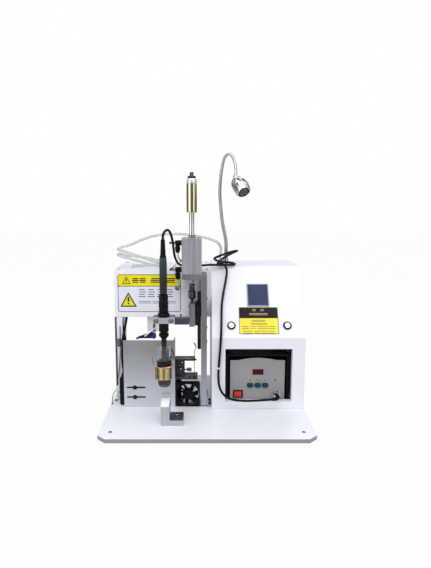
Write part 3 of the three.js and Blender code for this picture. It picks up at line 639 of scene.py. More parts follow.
dark_wire = surface("dark_wire", 0x343636, 0x1E2020, 90, 0.4, grain=(1500, 0.02))
smoked_glass = surface(
    "smoked_glass", 0x7E767A, 0x60585E, 50, 0.04, spread=0.02,
    sockets={"Transmission Weight": 0.9, "IOR": 1.45},
)
# Painted light: the feeder bar's top is lighter than the rest of the bar.
bar_top_painted_light_grey = surface("feeder_bar_top_painted_light", 0x8C8882, 0x6A6661, 90, 0.42, 0.6, grain=(1300, 0.05))
dark_bracket = surface("dark_bracket", 0x3A3531, 0x221E1B, 110, 0.4, 0.5, grain=(1300, 0.05))
cast_brown = surface("cast_bracket", 0x787476, 0x545054, 90, 0.46, 0.5, grain=(1300, 0.06))
mottled_dark_steel = surface("mottled_dark_steel", 0x707074, 0x343438, 420, 0.42, 0.6, grain=(1600, 0.08))
# Painted light for the fixture post's lit top.
post_top_painted_light_white = surface("post_top_painted_light_white", 0xFAFAFC, 0xF4F4F8, 60, 0.5, grain=(900, 0.02))
neck_steel = surface("gooseneck_steel", 0xBABBBD, 0xAAABAE, 60, 0.34, 1.0, spread=0.02)
lamp_chrome = surface("lamp_chrome", 0xD6D6D7, 0xCCCCCE, 70, 0.06, 1.0, spread=0.01)
lens_clear = surface(
    "lamp_bead", 0x606268, 0x282A30, 200, 0.12, grain=(600, 0.02), sockets={"Coat Weight": 0.6},
)
floor_pale = surface("pale_floor", 0xC4C4C6, 0xC0C0C2, 2, 0.8, grain=(60, 0.02))

grip_teal = graded_by_height(surface("grip_teal", 0x1A3E40, None, 30, 0.34, grain=(1800, 0.05)), 292, 334, 0x120F1A)

# ---------------------------------------------------------------- cords

# The iron's lead: out of the handle, behind the air cylinder, two bights on the control box, the station.
LEAD_ROUTE = [
    (-81.5, -92, 367.4), (-81.2, -91.9, 373.5), (-79, -89.8, 379.8), (-75, -84, 383.6), (-71, -75.5, 382),
    (-68, -66, 374.5), (-65.8, -55, 362.5), (-64.6, -41, 346.5), (-63.4, -23, 330), (-60, -4, 316.5),
    (-55.5, 12, 308.5), (-48, 23, 304.5), (-38, 27.5, 303.3), (-24, 30, 303), (-9, 34, 303.5), (7, 40, 304),
    (20, 45, 303.3), (30, 48.2, 302.9), (41, 50, 302.6), (51.3, 50.4, 302.8), (58.8, 53.4, 303.2),
    (61.9, 60.7, 303.8), (58.8, 68, 304.6), (51.3, 71, 305.5), (41, 69.8, 306.8), (28.5, 67.6, 309),
    (20.6, 64.6, 311.7), (17.6, 57.5, 315), (20.6, 50.5, 318.6), (28, 47.6, 322), (38, 47.6, 325.8),
    (48, 48.6, 329.2), (56.2, 50.4, 331.5), (63.7, 53.7, 332.4), (66.8, 61, 331.7), (63.7, 68.2, 329.3),
    (56.5, 71.2, 325.8), (46.5, 69.8, 320.6), (37.5, 65.8, 315.8), (31.8, 59.2, 312), (31, 51.3, 309.4),
    (34, 44.4, 306.7), (39, 40.3, 302.6), (42.6, 38.6, 296.6), (43.4, 35.8, 288.5), (41.8, 30.2, 277),
    (38.9, 22.8, 263), (34.9, 11.4, 245), (32, -0.5, 227), (30.6, -18.5, 200.5), (29.8, -33, 179),
    (28.6, -38.5, 160), (27.4, -40, 141), (24.8, -40.3, 104), (24.2, -41, 86), (26.2, -43.5, 66.5),
    (31.5, -46, 54.5), (41.5, -48.5, 45.3), (56.5, -50, 40.4), (79.7, -50, 38.5), (102.9, -49.8, 39),
    (124, -49, 40.2), (133.6, -48, 40.6),
]

# The air hose: out of the control box's top and over in an arch to the hank on the header.
HOSE_ROUTE = [
    (31, 97, 303), (31.3, 96.5, 313), (32.6, 94, 325), (32.6, 89, 336.5), (26.5, 83, 346.8),
    (14, 78, 353.8), (-3, 74, 359.3), (-20, 71, 363), (-42, 68, 366.2), (-64.2, 66, 367.4),
    (-91.7, 65, 366.6), (-119, 65, 361.5), (-143, 67.4, 353), (-158, 68.6, 346),
]

SOCKET = (145, 43)  # X and Z of the station's round socket
FACE_Y = PANEL_LOW.y  # front of the station's face


def make_plug():
    """Locking ring with grip teeth, then a ribbed boot that curves round to the lead."""
    x, z = SOCKET
    front = span("tool_socket")[0].y
    back = front - 0.3
    grip = fluted(8.2, 20, 0.5)
    ring = turned([(0, 0), (6.4, 0), (7.7, 0.8), (grip, 1.6), (grip, 6.4), (7.4, 7.4), (5, 8), (0, 8)], 60)
    ring = placed(ring, Matrix.Translation((x, back, z)) @ turn_to((0, -1, 0)))
    line = smooth_route([
        (x, back - 7, z), (x + 0.8, back - 14, z - 0.3), (x - 0.2, back - 20, z - 1),
        (x - 4.5, back - 24, z - 1.8), (134, -48, 40.7),
    ], 14)
    line = evenly(line, 0.55)

    def boot(walked):
        taper = 4.2 - 0.028 * walked
        groove = 0.55 if 5 < walked < 22 and (walked % 2.6) < 1.0 else 0.0
        return taper - groove

    return add("plug_boot", [(ring, nickel), (tube(line, boot, 24), rubber)],
               stands_for=["iron_plug"])


def make_iron_lead(plug):
    line = along(LEAD_ROUTE, 2.0)
    obj = make_piece("iron_lead", [(tube(line, LEAD_D / 2, 20), jacket)])
    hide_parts("iron_lead_moving", "iron_lead_fixed")
    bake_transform(obj)


HANK_LEFT, HANK_RIGHT = -166, -108  # X of the two folds' centres
HANK_Y, HANK_R = 49, 20


def fold(centre, start, height):
    """Seven points round half a turn. Height gives Z from X and the share of the fold done."""
    points = []
    for k in range(7):
        angle = math.radians(start + 25 * k)
        x = centre + HANK_R * math.cos(angle)
        points.append((x, HANK_Y + HANK_R * math.sin(angle), height(x, k / 7)))
    return points


def run(y, height, reverse=False):
    """Three points along a straight stretch between the folds."""
    points = [(x, y, height(x)) for x in (-155, -140, -122)]
    return points[::-1] if reverse else points


def hank_route():
    """Two flat turns, one on the other, rising to the left, and a tail that lies on the header."""
    front, back = HANK_Y - HANK_R, HANK_Y + HANK_R
    reach = HANK_RIGHT - HANK_LEFT

    def upper(x):
        return 306.5 - (92 + x) * 0.345

    def lower(x):
        return 300 - (92 + x) * 0.27

    def sinking(x):
        share = (HANK_RIGHT - x) / reach
        return upper(x) * (1 - share) + lower(x) * share

    return (
        fold(HANK_LEFT, 105, lambda x, done: 341.5 - 9 * done)
        + run(front, upper)
        + fold(HANK_RIGHT, 285, lambda x, done: upper(x))
        + run(back, sinking, reverse=True)
        + fold(HANK_LEFT, 105, lambda x, done: lower(x))
        + run(front, lower)
        + fold(HANK_RIGHT, 285, lambda x, done: lower(x) * (1 - done) + 299.7 * done)
        + [(-120, 68.8, 299.6), (-134, 66.5, 299.5), (-148, 62, 299.5), (-158, 56.5, 299.5)]
    )


def make_air_hose():
    route = HOSE_ROUTE + hank_route()
    line = along(route, 2.2, 10)
    obj = add("air_supply_hose", [(tube(line, HOSE_D / 2, 16), clear_hose)],
              stands_for=["air_hose", "air_hose_hank"])
    return line


make_iron_lead(make_plug())
air_hose_line = make_air_hose()

# ---------------------------------------------------------------- screws and small fittings


def set_at(shape, place, aim=(0, 0, 1)):
    """Stands a shape made along +Z at a place, along aim."""
    return placed(shape, Matrix.Translation(place) @ turn_to(aim))


def socket_screw(radius, height):
    """Cap screw with a hexagonal socket."""
    key = hexed(radius * 1.1)
    rim = radius * 0.14
    return turned([
        (0, 0), (radius, 0), (radius, height - rim), (radius - rim, height), (key, height),
        (key, height * 0.35), (0, height * 0.3),
    ], 36)


def pan_screw(radius, height):
    """Domed screw with a cross recess."""
    cross = crossed(radius * 0.55, radius * 0.14)
    return turned([
        (0, 0), (radius, 0), (radius * 0.96, height * 0.35), (radius * 0.84, height * 0.72),
        (radius * 0.62, height), (cross, height), (cross, height * 0.45), (0, height * 0.4),
    ], 48)


def washer(inner, outer, thick):
    return turned(ring_profile(inner, outer, 0, thick, thick * 0.3), 40)


def thread(radius, z0, z1, pitch=1.0, depth=0.35):
    """Profile points of a screw thread, drawn as rings."""
    points = []
    count = round((z1 - z0) / pitch)
    for i in range(count):
        z = z0 + (z1 - z0) * i / count
        points += [(radius - depth, z), (radius, z + pitch * 0.35), (radius, z + pitch * 0.6)]
    return points + [(radius - depth, z1)]


def add_screws(name, places, aim, shape, finish, body="frame"):
    heads = merged(*[set_at(shape, place, aim) for place in places])
    return add(name, [(heads, finish)], body)


TOWARDS = (0, -1, 0)  # the operator
AWAY = (0, 1, 0)
UP = (0, 0, 1)
LEFT = (-1, 0, 0)
RIGHT = (1, 0, 0)

# ---------------------------------------------------------------- base


def make_feet():
    for side in ("front_left", "front_right", "rear_left", "rear_right"):
        node = f"foot_{side}"
        low, high = span(node)
        middle = (low + high) / 2
        top = high.z
        sole = turned([
            (0, 1.6), (3.4, 1.6), (3.8, 0), (8.2, 0), (9.2, 0.5), (11, 2.6),
            (11, top - 0.8), (10.4, top), (0, top),
        ], 56)
        add(
            f"rubber_{node}", [(moved(sole, middle.x, middle.y), rubber)],
            stands_for=[node]
        )


def make_base():
    dress(["base_plate"], plate_coat, 0.9, 3)
    reach = span("foot_rear_right")
    middle = (reach[0] + reach[1]) / 2
    places = [(x, y, FLOOR - 0.5) for x in (-middle.x, middle.x) for y in (-middle.y, middle.y)]
    add_screws("plate_screws", places, UP, socket_screw(4.2, 0.9), zinc)
    make_feet()


# ---------------------------------------------------------------- control box


def make_box():
    dress(["box_shell"], white_coat, 0.9, 3)
    dress(["box_rear_cover"], white_coat, 0.4)
    low, high = span("box_rear_cover")
    places = [(x, high.y, z) for x in (low.x + 6, high.x - 6) for z in (low.z + 10, 158, high.z - 10)]
    add_screws("cover_screws", places, AWAY, pan_screw(3.2, 1.5), zinc)
    add_screws(
        "box_foot_screws", [(BOX_HIGH.x - 8, y, FLOOR) for y in (0, 130)], UP, socket_screw(2.8, 2.4), zinc
    )


def make_inlet():
    dress(["mains_inlet"], black_plastic, 0.6)
    x, _, z = middle_of("mains_inlet")
    back = span("mains_inlet")[1].y
    pins = [
        block(x + dx - 1.1, x + dx + 1.1, back - 14.2, back - 3.6, z + dz - 2.1, z + dz + 2.1, 0.5)
        for dx, dz in ((-6.5, -2), (0, 3), (6.5, -2))
    ]
    add("inlet_pins", [(merged(*pins), nickel)])
    screws = [(x + dx, back, z) for dx in (-20, 20)]
    add_screws("inlet_screws", screws, AWAY, pan_screw(2.6, 1.4), zinc)


def bars(rows, top, depth0, depth1):
    """Rounded bars in rows below a height. A row is its bars' height, the gap after it and
    (left end, width) for each bar."""
    shapes = []
    z = top
    for height, gap, row in rows:
        for x, width in row:
            corner = min(height, width) * 0.3
            shapes.append(prism(rounded(x, x + width, z - height, z, corner, 3), depth0, depth1))
        z -= height + gap
    return merged(*shapes)


def make_caution_label():
    """Generic two-part plate on the leaning face: dark band above, yellow field below."""
    x0, x1, v0, v1, split = 66.6, 147, 8, 67, 43
    middle = (x0 + x1) / 2
    plate = prism(rounded(x0, x1, v0, v1, 2), 0.02, 0.2)
    band = prism(rounded(x0 + 1.4, x1 - 1.4, split, v1 - 1.4, 1), 0.18, 0.26)
    field = prism(rounded(x0 + 1.4, x1 - 1.4, v0 + 1.4, split - 0.6, 1), 0.18, 0.26)
    title = bars([
        (1.2, 1.6, [(middle - 12, 7), (middle + 5, 7)]),
        (1.2, 5, [(middle - 13, 8), (middle + 4, 8)]),
        (1.3, 1.5, [(middle - 19, 38)]),
        (1.3, 1.0, [(middle - 19, 38)]),
    ], v1 - 4.5, 0.24, 0.32)
    lines = bars([
        (1.1, 1.3, [(middle - 14, 28)]),
        (1.1, 3.0, [(middle - 13, 26)]),
        (1.1, 1.3, [(middle - 17, 34)]),
        (1.1, 3.4, [(middle - 16, 33)]),
        (1.2, 3.2, [(x0 + 5, 15), (x0 + 23, 11), (x0 + 37, 37)]),
        (1.2, 4.2, [(x0 + 5, 15), (x0 + 23, 11), (x0 + 37, 37)]),
        (1.2, 3.2, [(x0 + 7, 20), (x0 + 30, 12), (x0 + 45, 27)]),
        (1.2, 1.0, [(x0 + 7, 20), (x0 + 30, 12), (x0 + 45, 27)]),
    ], split - 4.5, 0.24, 0.32)
    parts = [
        (plate, label_olive), (band, label_black), (field, label_yellow),
        (title, label_cream), (lines, label_olive),
    ]
    add("caution_plate", each(parts, placed, SLOPE))


def make_counter():
    """Screen of the counter: a blank tinted window in its frame."""
    dress(["counter_module"], screen_bezel, 0.4)
    x0, x1, v0, v1, floor = 86.6, 128.4, 70.1, 117.9, 1.2
    window = prism(rounded(x0 + 0.2, x1 - 0.2, v0 + 0.2, v1 - 0.2, 0.8), floor, floor + 0.35)
    edge = ring_prism(
        rounded(x0 - 0.6, x1 + 0.6, v0 - 0.6, v1 + 0.6, 1.2),
        rounded(x0 + 0.4, x1 - 0.4, v0 + 0.4, v1 - 0.4, 0.8),
        floor, floor + 1.0,
    )
    parts = [(window, screen_blue), (edge, screen_bezel)]
    add("counter_screen", each(parts, placed, SLOPE))


PUSH_V = 26.4  # height of the push buttons up the leaning face


def make_push_buttons():
    for name, x in (("start", 50.8), ("stop", 164.4)):
        cap = turned([
            (0, -7), (6.1, -7), (6.1, 2.4), (5.9, 3.3), (5.3, 3.9), (4.8, 3.85),
            (4.4, 3.2), (4, 2.6), (3.2, 2.5), (2.4, 2.9), (0, 3.2),
        ], 64)
        add(f"{name}_cap", [(placed(moved(cap, x, PUSH_V), SLOPE), polished)], f"{name}_button",
            [f"{name}_button"])
        # The bezel ring in dark chrome and the black rubber ring inside it are painted dark reflections and
        # shade round the chrome cap.
        ring = turned([
            (7.45, 0.05), (8.8, 0.05), (8.9, 0.5), (8.7, 1.3), (8.3, 2.3),
            (7.9, 2.7), (7.5, 2.5), (7.45, 0.05),
        ], 56)
        gap = turned([(6.3, 0.04), (7.5, 0.04), (7.5, 1.6), (6.4, 0.6), (6.3, 0.04)], 56)
        parts = each([(ring, dark_chrome), (gap, rubber)], moved, x, PUSH_V)
        add(f"{name}_bezel", each(parts, placed, SLOPE))


# ---------------------------------------------------------------- station in the window


def digit(x, z, width, height, stroke, depth0, depth1):
    """The seven bars of one display digit, all unlit."""
    across = [(z, stroke), (z + height / 2 - stroke / 2, stroke), (z + height - stroke, stroke)]
    shapes = [
        prism(rounded(x + stroke, x + width - stroke, low, low + thick, stroke * 0.3, 2), depth0, depth1)
        for low, thick in across
    ]
    half = height / 2
    for left in (x, x + width - stroke):
        for low in (z + 0.5, z + half + 0.3):
            shapes.append(
                prism(rounded(left, left + stroke, low, low + half - 0.8, stroke * 0.3, 2), depth0, depth1)
            )
    return merged(*shapes)


def make_station_display():
    x0, x1, z0, z1 = 95.3, 117.9, 83, 94.8
    rim = ring_prism(rounded(x0 - 1, x1 + 1, z0 - 1, z1 + 1, 0.8), rounded(x0, x1, z0, z1, 0.4), 0.02, 0.7)
    window = prism(rounded(x0, x1, z0, z1, 0.4), 0.02, 0.45)
    digits = [digit(x0 + 2.6 + i * 6.2, z0 + 2, 4.4, 7.6, 0.85, 0.4, 0.5) for i in range(3)]
    parts = [(rim, panel_face), (window, display_red), (merged(*digits), segment_red)]
    add("station_display", each(parts, on_front, FACE_Y))


def make_station_marks():
    """Plain pointers above the keys and one square by the socket."""
    z, size = 71, 1.9
    shapes = []
    for i, node in enumerate(("station_button_left", "station_button_middle", "station_button_right")):
        x = middle_of(node)[0]
        start = -math.pi / 2 if i == 1 else math.pi / 2
        shapes.append(prism([(x + px, z + pz) for px, pz in regular(size, 3, start)], 0.02, 0.14))
    shapes.append(prism(rounded(SOCKET[0] - 3.6, SOCKET[0] - 0.6, z - 1.4, z + 1.4, 0.5), 0.02, 0.14))
    add("station_marks", [(on_front(merged(*shapes), FACE_Y), label_black)])


def make_rocker_bezel():
    x, _, z = middle_of("power_rocker")
    outer = rounded(x - 10.4, x + 10.4, z - 8.2, z + 8.2, 1.2)
    lip = rounded(x - 9.4, x + 9.4, z - 7.2, z + 7.2, 0.9)
    inner = rounded(x - 8.7, x + 8.7, z - 6.6, z + 6.6, 0.5)
    bezel = merged(ring_prism(outer, inner, 0.02, 1.5), ring_prism(lip, inner, 1.5, 2.1))
    add("rocker_bezel", [(on_front(eased(bezel, 0.25, 1), FACE_Y), gloss_black)])


def make_station():
    dress(["station_case"], case_grey, 1.2, 3)
    dress(["station_panel"], panel_face, 0.5)
    dress(["station_button_left", "station_button_middle", "station_button_right"], key_teal, 0.6, 3)
    dress(["power_rocker"], rocker_red, 0.5, 3)
    dress(["tool_socket"], nickel, 0.4)
    make_station_display()
    make_station_marks()
    make_rocker_bezel()
    low, high = span("station_panel")
    places = [(x, low.y, low.z + 4.5) for x in (low.x + 5, high.x - 5)]
    add_screws("panel_screws", places, TOWARDS, pan_screw(2.0, 0.9), dark_screw)


def make_inside():
    """What the vents at the back show."""
    dress(["power_supply"], sheet_metal, 0.4)
    dress(["control_board"], circuit_green, 0.2, 1)
    dress(["solenoid_valve"], anodised, 0.5)


make_base()
make_box()
make_inlet()
make_caution_label()
make_counter()
make_push_buttons()
make_station()
make_inside()

# ---------------------------------------------------------------- header and its leg


def triangle_sign(x0, x1, z0, z1, depth):
    """Black-edged yellow triangle with a plain upright mark."""
    middle = (x0 + x1) / 2
    outer = [(x0, z0), (x1, z0), (middle, z1)]
    centre = Vector((middle, z0 + (z1 - z0) / 3))
    inner = [tuple(centre + (Vector(p) - centre) * 0.76) for p in outer]
    stem = (z1 - z0) * 0.055
    low = z0 + (z1 - z0) * 0.34
    mark = merged(
        prism(
            rounded(middle - stem, middle + stem, low, z0 + (z1 - z0) * 0.68, stem * 0.6, 2),
            depth + 0.1, depth + 0.2
        ),
        prism(
            rounded(middle - stem, middle + stem, low - stem * 3.2, low - stem * 1.2, stem * 0.6, 2),
            depth + 0.1, depth + 0.2
        ),
    )
    return [
        (prism(outer, depth, depth + 0.08), label_black),
        (prism(inner, depth + 0.06, depth + 0.14), label_yellow), (mark, label_black),
    ]


def make_header_label():
    """Generic two-part plate: yellow band above, white field below, with plain bars for lines."""
    x0, x1, z0, z1, split = -183.9, -53.2, 208, 287, 263
    plate = prism(rounded(x0, x1, z0, z1, 4), 0.02, 0.2)
    band = prism(rounded(x0 + 1.2, x1 - 1.2, split, z1 - 1.2, 2.8), 0.18, 0.3)
    field = prism(rounded(x0 + 1.2, x1 - 1.2, z0 + 1.2, split - 1.2, 2.8), 0.18, 0.3)
    title = bars([
        (2.2, 1.5, [(x0 + 31, 12), (x0 + 46, 12), (x0 + 70, 50)]),
        (2.2, 1.5, [(x0 + 30, 14), (x0 + 45, 14), (x0 + 69, 50)]),
        (2.2, 1.0, [(x0 + 31, 12), (x0 + 46, 12), (x0 + 68, 50)]),
    ], z1 - 7.5, 0.28, 0.38)
    lines = bars([
        (1.5, 3.4, [(x0 + 44, 12), (x0 + 63, 12), (x0 + 82, 12), (x0 + 101, 12)]),
        (1.5, 3.4, [(x0 + 45, 13), (x0 + 64, 13), (x0 + 83, 13), (x0 + 102, 13)]),
        (1.5, 3.4, [(x0 + 44, 12), (x0 + 63, 12), (x0 + 82, 12), (x0 + 101, 12)]),
        (1.5, 9.0, [(x0 + 43, 15), (x0 + 62, 15), (x0 + 81, 15), (x0 + 100, 15)]),
        (1.0, 2.4, [(x0 + 43, 26), (x0 + 72, 15), (x0 + 90, 30)]),
        (1.0, 1.0, [(x0 + 43, 26), (x0 + 72, 15), (x0 + 90, 30)]),
    ], split - 7, 0.28, 0.36)
    parts = [
        (plate, label_black), (band, label_yellow), (field, label_white),
        (title, label_black), (lines, label_black),
    ]
    parts += triangle_sign(x0 + 9, x0 + 27, split + 4, z1 - 4, 0.28)
    parts += triangle_sign(x0 + 4.5, x0 + 39, z0 + 11, split - 13, 0.28)
    add("header_plate", each(parts, on_front, HEADER_LOW.y))


def make_leg_slot():
    """Oval bushing in the front of the leg, and a dark strip beside it: painted shadow on the leg's left
    edge.
    """
    leg_low, leg_high = span("header_leg")
    x, z = leg_low.x + 6.9, 142
    outer = rounded(x - 4.8, x + 4.8, z - 9, z + 9, 4.7)
    inner = rounded(x - 3.0, x + 3.0, z - 7.2, z + 7.2, 2.9)
    bushing = eased(ring_prism(outer, inner, 0.02, 1.3), 0.3, 2)
    cover = prism(inner, 0.02, 0.7)
    parts = [(on_front(bushing, leg_low.y), bushing_violet), (on_front(cover, leg_low.y), bushing_violet)]
    add("leg_bushing", parts)
    # Dark strip down the leg's left front edge: painted shadow where the leg's side is in shade.
    shadow_strip = block(leg_low.x - 0.9, leg_low.x + 3, leg_low.y - 0.9, leg_low.y + 3, FLOOR + 22, leg_high.z, 0.4)
    add("leg_painted_shadow_strip", [(shadow_strip, leg_shadow_grey)])


def make_header():
    dress(["header_box", "header_leg"], white_coat, 0.8, 3)
    make_header_label()
    make_leg_slot()
    front = HEADER_LOW.y
    add_screws("header_front_screw", [(-53.2, front, 200.9)], TOWARDS, pan_screw(2.2, 1.2), dark_screw)
    top = [
        (x, y, HEADER_HIGH.z)
        for x in (HEADER_LOW.x + 9, HEADER_HIGH.x - 9) for y in (front + 9, HEADER_HIGH.y - 9)
    ]
    add_screws("header_top_screws", top, UP, pan_screw(2.8, 1.3), zinc)
    leg_low, leg_high = span("header_leg")
    foot = [(leg_low.x + 9, y, leg_low.z + 1.5) for y in (leg_low.y + 20, leg_high.y - 20)]
    add_screws("leg_foot_screws", foot, UP, socket_screw(2.8, 2.6), zinc)
    back = [(x, HEADER_HIGH.y, HEADER_LOW.z + 12) for x in (HEADER_LOW.x + 12, HEADER_HIGH.x - 12)]
    add_screws("header_back_screws", back, AWAY, pan_screw(2.8, 1.3), zinc)


make_header()

# ---------------------------------------------------------------- lift

CYL_TOP = 363.3  # top of the cylinder's square body, below its gland
SLEEVE_LOW, SLEEVE_HIGH = span("stroke_sleeve")


def make_column():
    dress(["column_plate", "cylinder_plate"], brushed, 0.5)
    shelf_top = span("cylinder_plate")[1].z
    column_low, column_high = span("column_plate")
    x = middle_of("column_plate")[0]
    top = [(x, y, shelf_top) for y in (ROD_Y - 12, ROD_Y + 12)]
    add_screws("shelf_screws", top, UP, socket_screw(3, 1.2), zinc)
    side = [(column_high.x, ROD_Y, z) for z in (150, 180, 210, 240)]
    add_screws("rail_screws", side, RIGHT, socket_screw(2.6, 1.2), dark_screw)
    base = block(column_low.x - 0.4, column_high.x + 8.6, column_low.y, column_high.y, FLOOR, FLOOR + 3, 0.5)
    base = moved(base, 0.4)
    heel = block(column_high.x + 0.2, column_high.x + 3, column_low.y, column_high.y, FLOOR, FLOOR + 22, 0.5)
    add("column_bracket", [(merged(base, heel), brushed)])
    screws = [(column_high.x + 6, y, FLOOR + 3) for y in (ROD_Y - 11, ROD_Y + 11)]
    add_screws("column_bracket_screws", screws, UP, socket_screw(2.4, 2.2), dark_screw)


def make_cylinder():
    dress(["air_cylinder"], anodised, 0.35)
    half = (CYL_HIGH.x - CYL_LOW.x) / 2
    hole = regular(7, 24, math.radians(-67.5))
    lid = eased(ring_prism(rounded(-half, half, -half, half, 2, 5), hole, 0, 0.9), 0.25, 2)
    places = [(sx * (half - 5.5), sy * (half - 5.5), 0.5) for sx in (-1, 1) for sy in (-1, 1)]
    heads = merged(*[set_at(socket_screw(3, 0.7), place) for place in places])
    gland = turned([
        (5.6, 0.9), (7, 0.9), (7, 4.2), (6.5, 4.6), (6.5, 5.2), (7, 5.6),
        (6.9, 6.4), (6.3, 6.9), (5.6, 6.9), (5.6, 0.9),
    ], 56)
    parts = [(lid, anodised), (heads, dark_screw), (gland, zinc)]
    add("cylinder_head", each(parts, moved, ROD_X, ROD_Y, CYL_TOP))


def make_rod():
    stud = thread(3, 262.5, CYL_LOW.z - 9, 1.1)
    lower = [(0, 262)] + stud + [(3, CYL_LOW.z - 8), (3, CYL_LOW.z + 0.7), (5, CYL_LOW.z + 1.6)]
    upper = [(5, SLEEVE_LOW.z - 0.3), (4, SLEEVE_LOW.z - 0.3), (4, SLEEVE_HIGH.z - 2), (0, SLEEVE_HIGH.z - 2)]
    tip = [(0, SLEEVE_HIGH.z - 2.5)] + thread(4, SLEEVE_HIGH.z - 2, 491.5, 1.25) + [
        (3.2, 493.2), (2.6, 493.5), (0, 493.5)
    ]
    rod = moved(turned(lower + upper, 64), ROD_X, ROD_Y)
    tip = moved(turned(tip, 48), ROD_X, ROD_Y)
    nut = turned([(4.1, 0), (6.9, 0), (hexed(14), 0.7), (hexed(14), 4), (6.9, 4.6), (4.1, 4.6), (4.1, 0)], 48)
    low_nut = turned(
        [(3.1, 0), (4.8, 0), (hexed(10), 0.7), (hexed(10), 4.4), (4.8, 5), (3.1, 5), (3.1, 0)], 48
    )
    parts = [
        (rod, polished), (tip, dark_chrome),
        (moved(nut, ROD_X, ROD_Y, SLEEVE_HIGH.z + 0.2), dark_chrome),
        (moved(low_nut, ROD_X, ROD_Y, 266.2), dark_chrome),
    ]
    add("cylinder_rod", parts, "iron_carriage", ["piston_rod"])


def make_sleeve():
    r, z0, z1 = SLEEVE_HIGH.x - ROD_X, SLEEVE_LOW.z, SLEEVE_HIGH.z
    shoulder = z1 - 9.6
    tube_profile = [
        (4.4, z0), (r - 0.9, z0), (r, z0 + 0.9), (r, z0 + 3), (r - 0.3, z0 + 3.3), (r - 0.3, z0 + 4.1),
        (r, z0 + 4.4), (r, shoulder - 0.4), (r - 0.5, shoulder), (4.4, shoulder), (4.4, z0),
    ]
    cap_profile = [
        (4.4, shoulder), (r - 1.0, shoulder), (r - 1.0, shoulder + 0.6), (r - 0.3, shoulder + 1),
        (r - 0.3, z1 - 2.4), (r - 0.8, z1 - 1.4), (r - 1.8, z1), (4.4, z1), (4.4, shoulder),
    ]
    parts = [(turned(tube_profile, 96), warm_steel), (turned(cap_profile, 96), satin_cream)]
    parts = each(parts, moved, ROD_X, ROD_Y)
    add("adjusting_sleeve", parts, "stroke_sleeve", ["stroke_sleeve"])


def make_floating_joint():
    low, high = span("floating_joint")
    z = low.z
    ball = [(0, z), (3, z), (3, z + 4.5), (5.2, z + 6.5), (6.6, z + 8.4), (7.2, z + 9.2)]
    body = [
        (hexed(13.2), z + 9.3), (hexed(13.2), z + 15), (6.9, z + 15.6),
        (7.6, z + 16.4), (7.6, z + 22), (6.8, z + 23),
    ]
    top = [(5.4, z + 24.6), (hexed(9.6), z + 25), (hexed(9.6), z + 31), (4.2, z + 32), (0, high.z)]
    shape = moved(turned(ball + body + top, 72), ROD_X, ROD_Y)
    add("rod_coupling", [(shape, dark_chrome)], "iron_carriage", ["floating_joint"])


def make_slide():
    dress(["slide_rail"], gunmetal, 0.3)
    dress(["slide_carriage"], gunmetal, 0.6)
    dress(["slide_plate"], milled, 0.5)
    low, high = span("slide_carriage")
    caps = [
        block(low.x - 0.1, -17.4, low.y - 0.2, high.y + 0.2, z, z + 5, 0.6)
        for z in (low.z - 0.2, high.z - 4.8)
    ]
    add("carriage_wipers", [(merged(*caps), black_plastic)], "iron_carriage")
    plate_low, plate_high = span("slide_plate")
    left = [(plate_low.x, y, z) for y in (ROD_Y - 14, ROD_Y + 8) for z in (plate_low.z + 8, plate_high.z - 7)]
    add_screws(
        "slide_plate_screws", left, LEFT, socket_screw(2.8, 1.4), dark_screw, "iron_carriage"
    )


def make_speed_controllers():
    """Elbow with a push-in collar below, its needle screw and knob standing out to the left."""
    for side, height in (("upper", 354), ("lower", 300)):
        node = f"speed_controller_{side}"
        right = span(node)[1].x
        trunk = turned([
            (0, 0), (4.8, 0), (5.5, 0.8), (5.5, 8.2), (4.8, 8.8), (4.8, 9.6),
            (5.5, 10.2), (5.5, 12.4), (4.6, 13.2), (0, 13.4),
        ], 64)
        needle = turned([
            (0, 13), (1.6, 13.9), (1.6, 22), (2, 22.2), (fluted(2.6, 16, 0.3), 22.6),
            (fluted(2.6, 16, 0.3), 24.2), (2.2, 24.8), (0, 24.8),
        ], 64)
        lock_nut = turned(
            [(1.7, 14), (hexed(6.4), 14.3), (hexed(6.4), 16.9), (2.6, 17.3), (1.7, 17.3), (1.7, 14)], 48
        )
        drop = turned([
            (0, 4), (4.6, 3.4), (5.2, 2), (5.2, -3.6), (4.2, -5), (4.2, -6), (5.3, -7.2), (5.4, -8.4),
            (5.4, -13.6), (4.8, -15), (4.4, -15.4), (4.4, -18.8), (4, -19.6), (2.4, -20), (2.4, -16),
            (0, -16),
        ][::-1], 48)
        drop = moved(drop, right - 8.2, ROD_Y, height)
        parts = [(trunk, black_plastic), (needle, gunmetal), (lock_nut, nickel)]
        parts = each(parts, set_at, (right, ROD_Y, height), LEFT) + [(drop, black_plastic)]
        add(f"{side}_speed_controller", parts, stands_for=[node])


AIR_LINES = {
    "air_line_upper": [
        (-58, -5, 336), (-57.6, -4.6, 329), (-55, -1, 321), (-52, 6, 316.5), (-51, 14, 315), (-52, 22, 313.5),
        (-57, 33, 309), (-66, 41, 303), (-70, 43, 296.4),
    ],
    "air_line_lower": [
        (-58, -5, 282), (-58, -4.6, 275), (-58.2, -3, 268.5),
        (-59, 2, 262.4), (-60, 9, 259.4), (-60.4, 16, 258.6),
    ],
}


def make_air_lines():
    """Thin clear lines from the speed controllers to the valve in the header, and their grommets."""
    for name, points in AIR_LINES.items():
        line = along(points, 1.2)
        add(name, [(tube(line, 2.0, 16), clear_hose)])
    ring = turned([
        (2.05, -0.6), (3.6, -0.6), (4.4, 0.1), (4.4, 0.9), (3.5, 1.7), (2.6, 1.8), (2.05, 1.5), (2.05, -0.6),
    ], 40)
    upper, lower = AIR_LINES["air_line_upper"][-1], AIR_LINES["air_line_lower"][-1]
    shapes = [
        moved(ring, upper[0], upper[1], HEADER_HIGH.z),
        set_at(ring, (lower[0], HEADER_LOW.y, lower[2]), TOWARDS),
    ]
    add("air_line_grommets", [(merged(*shapes), rubber)])


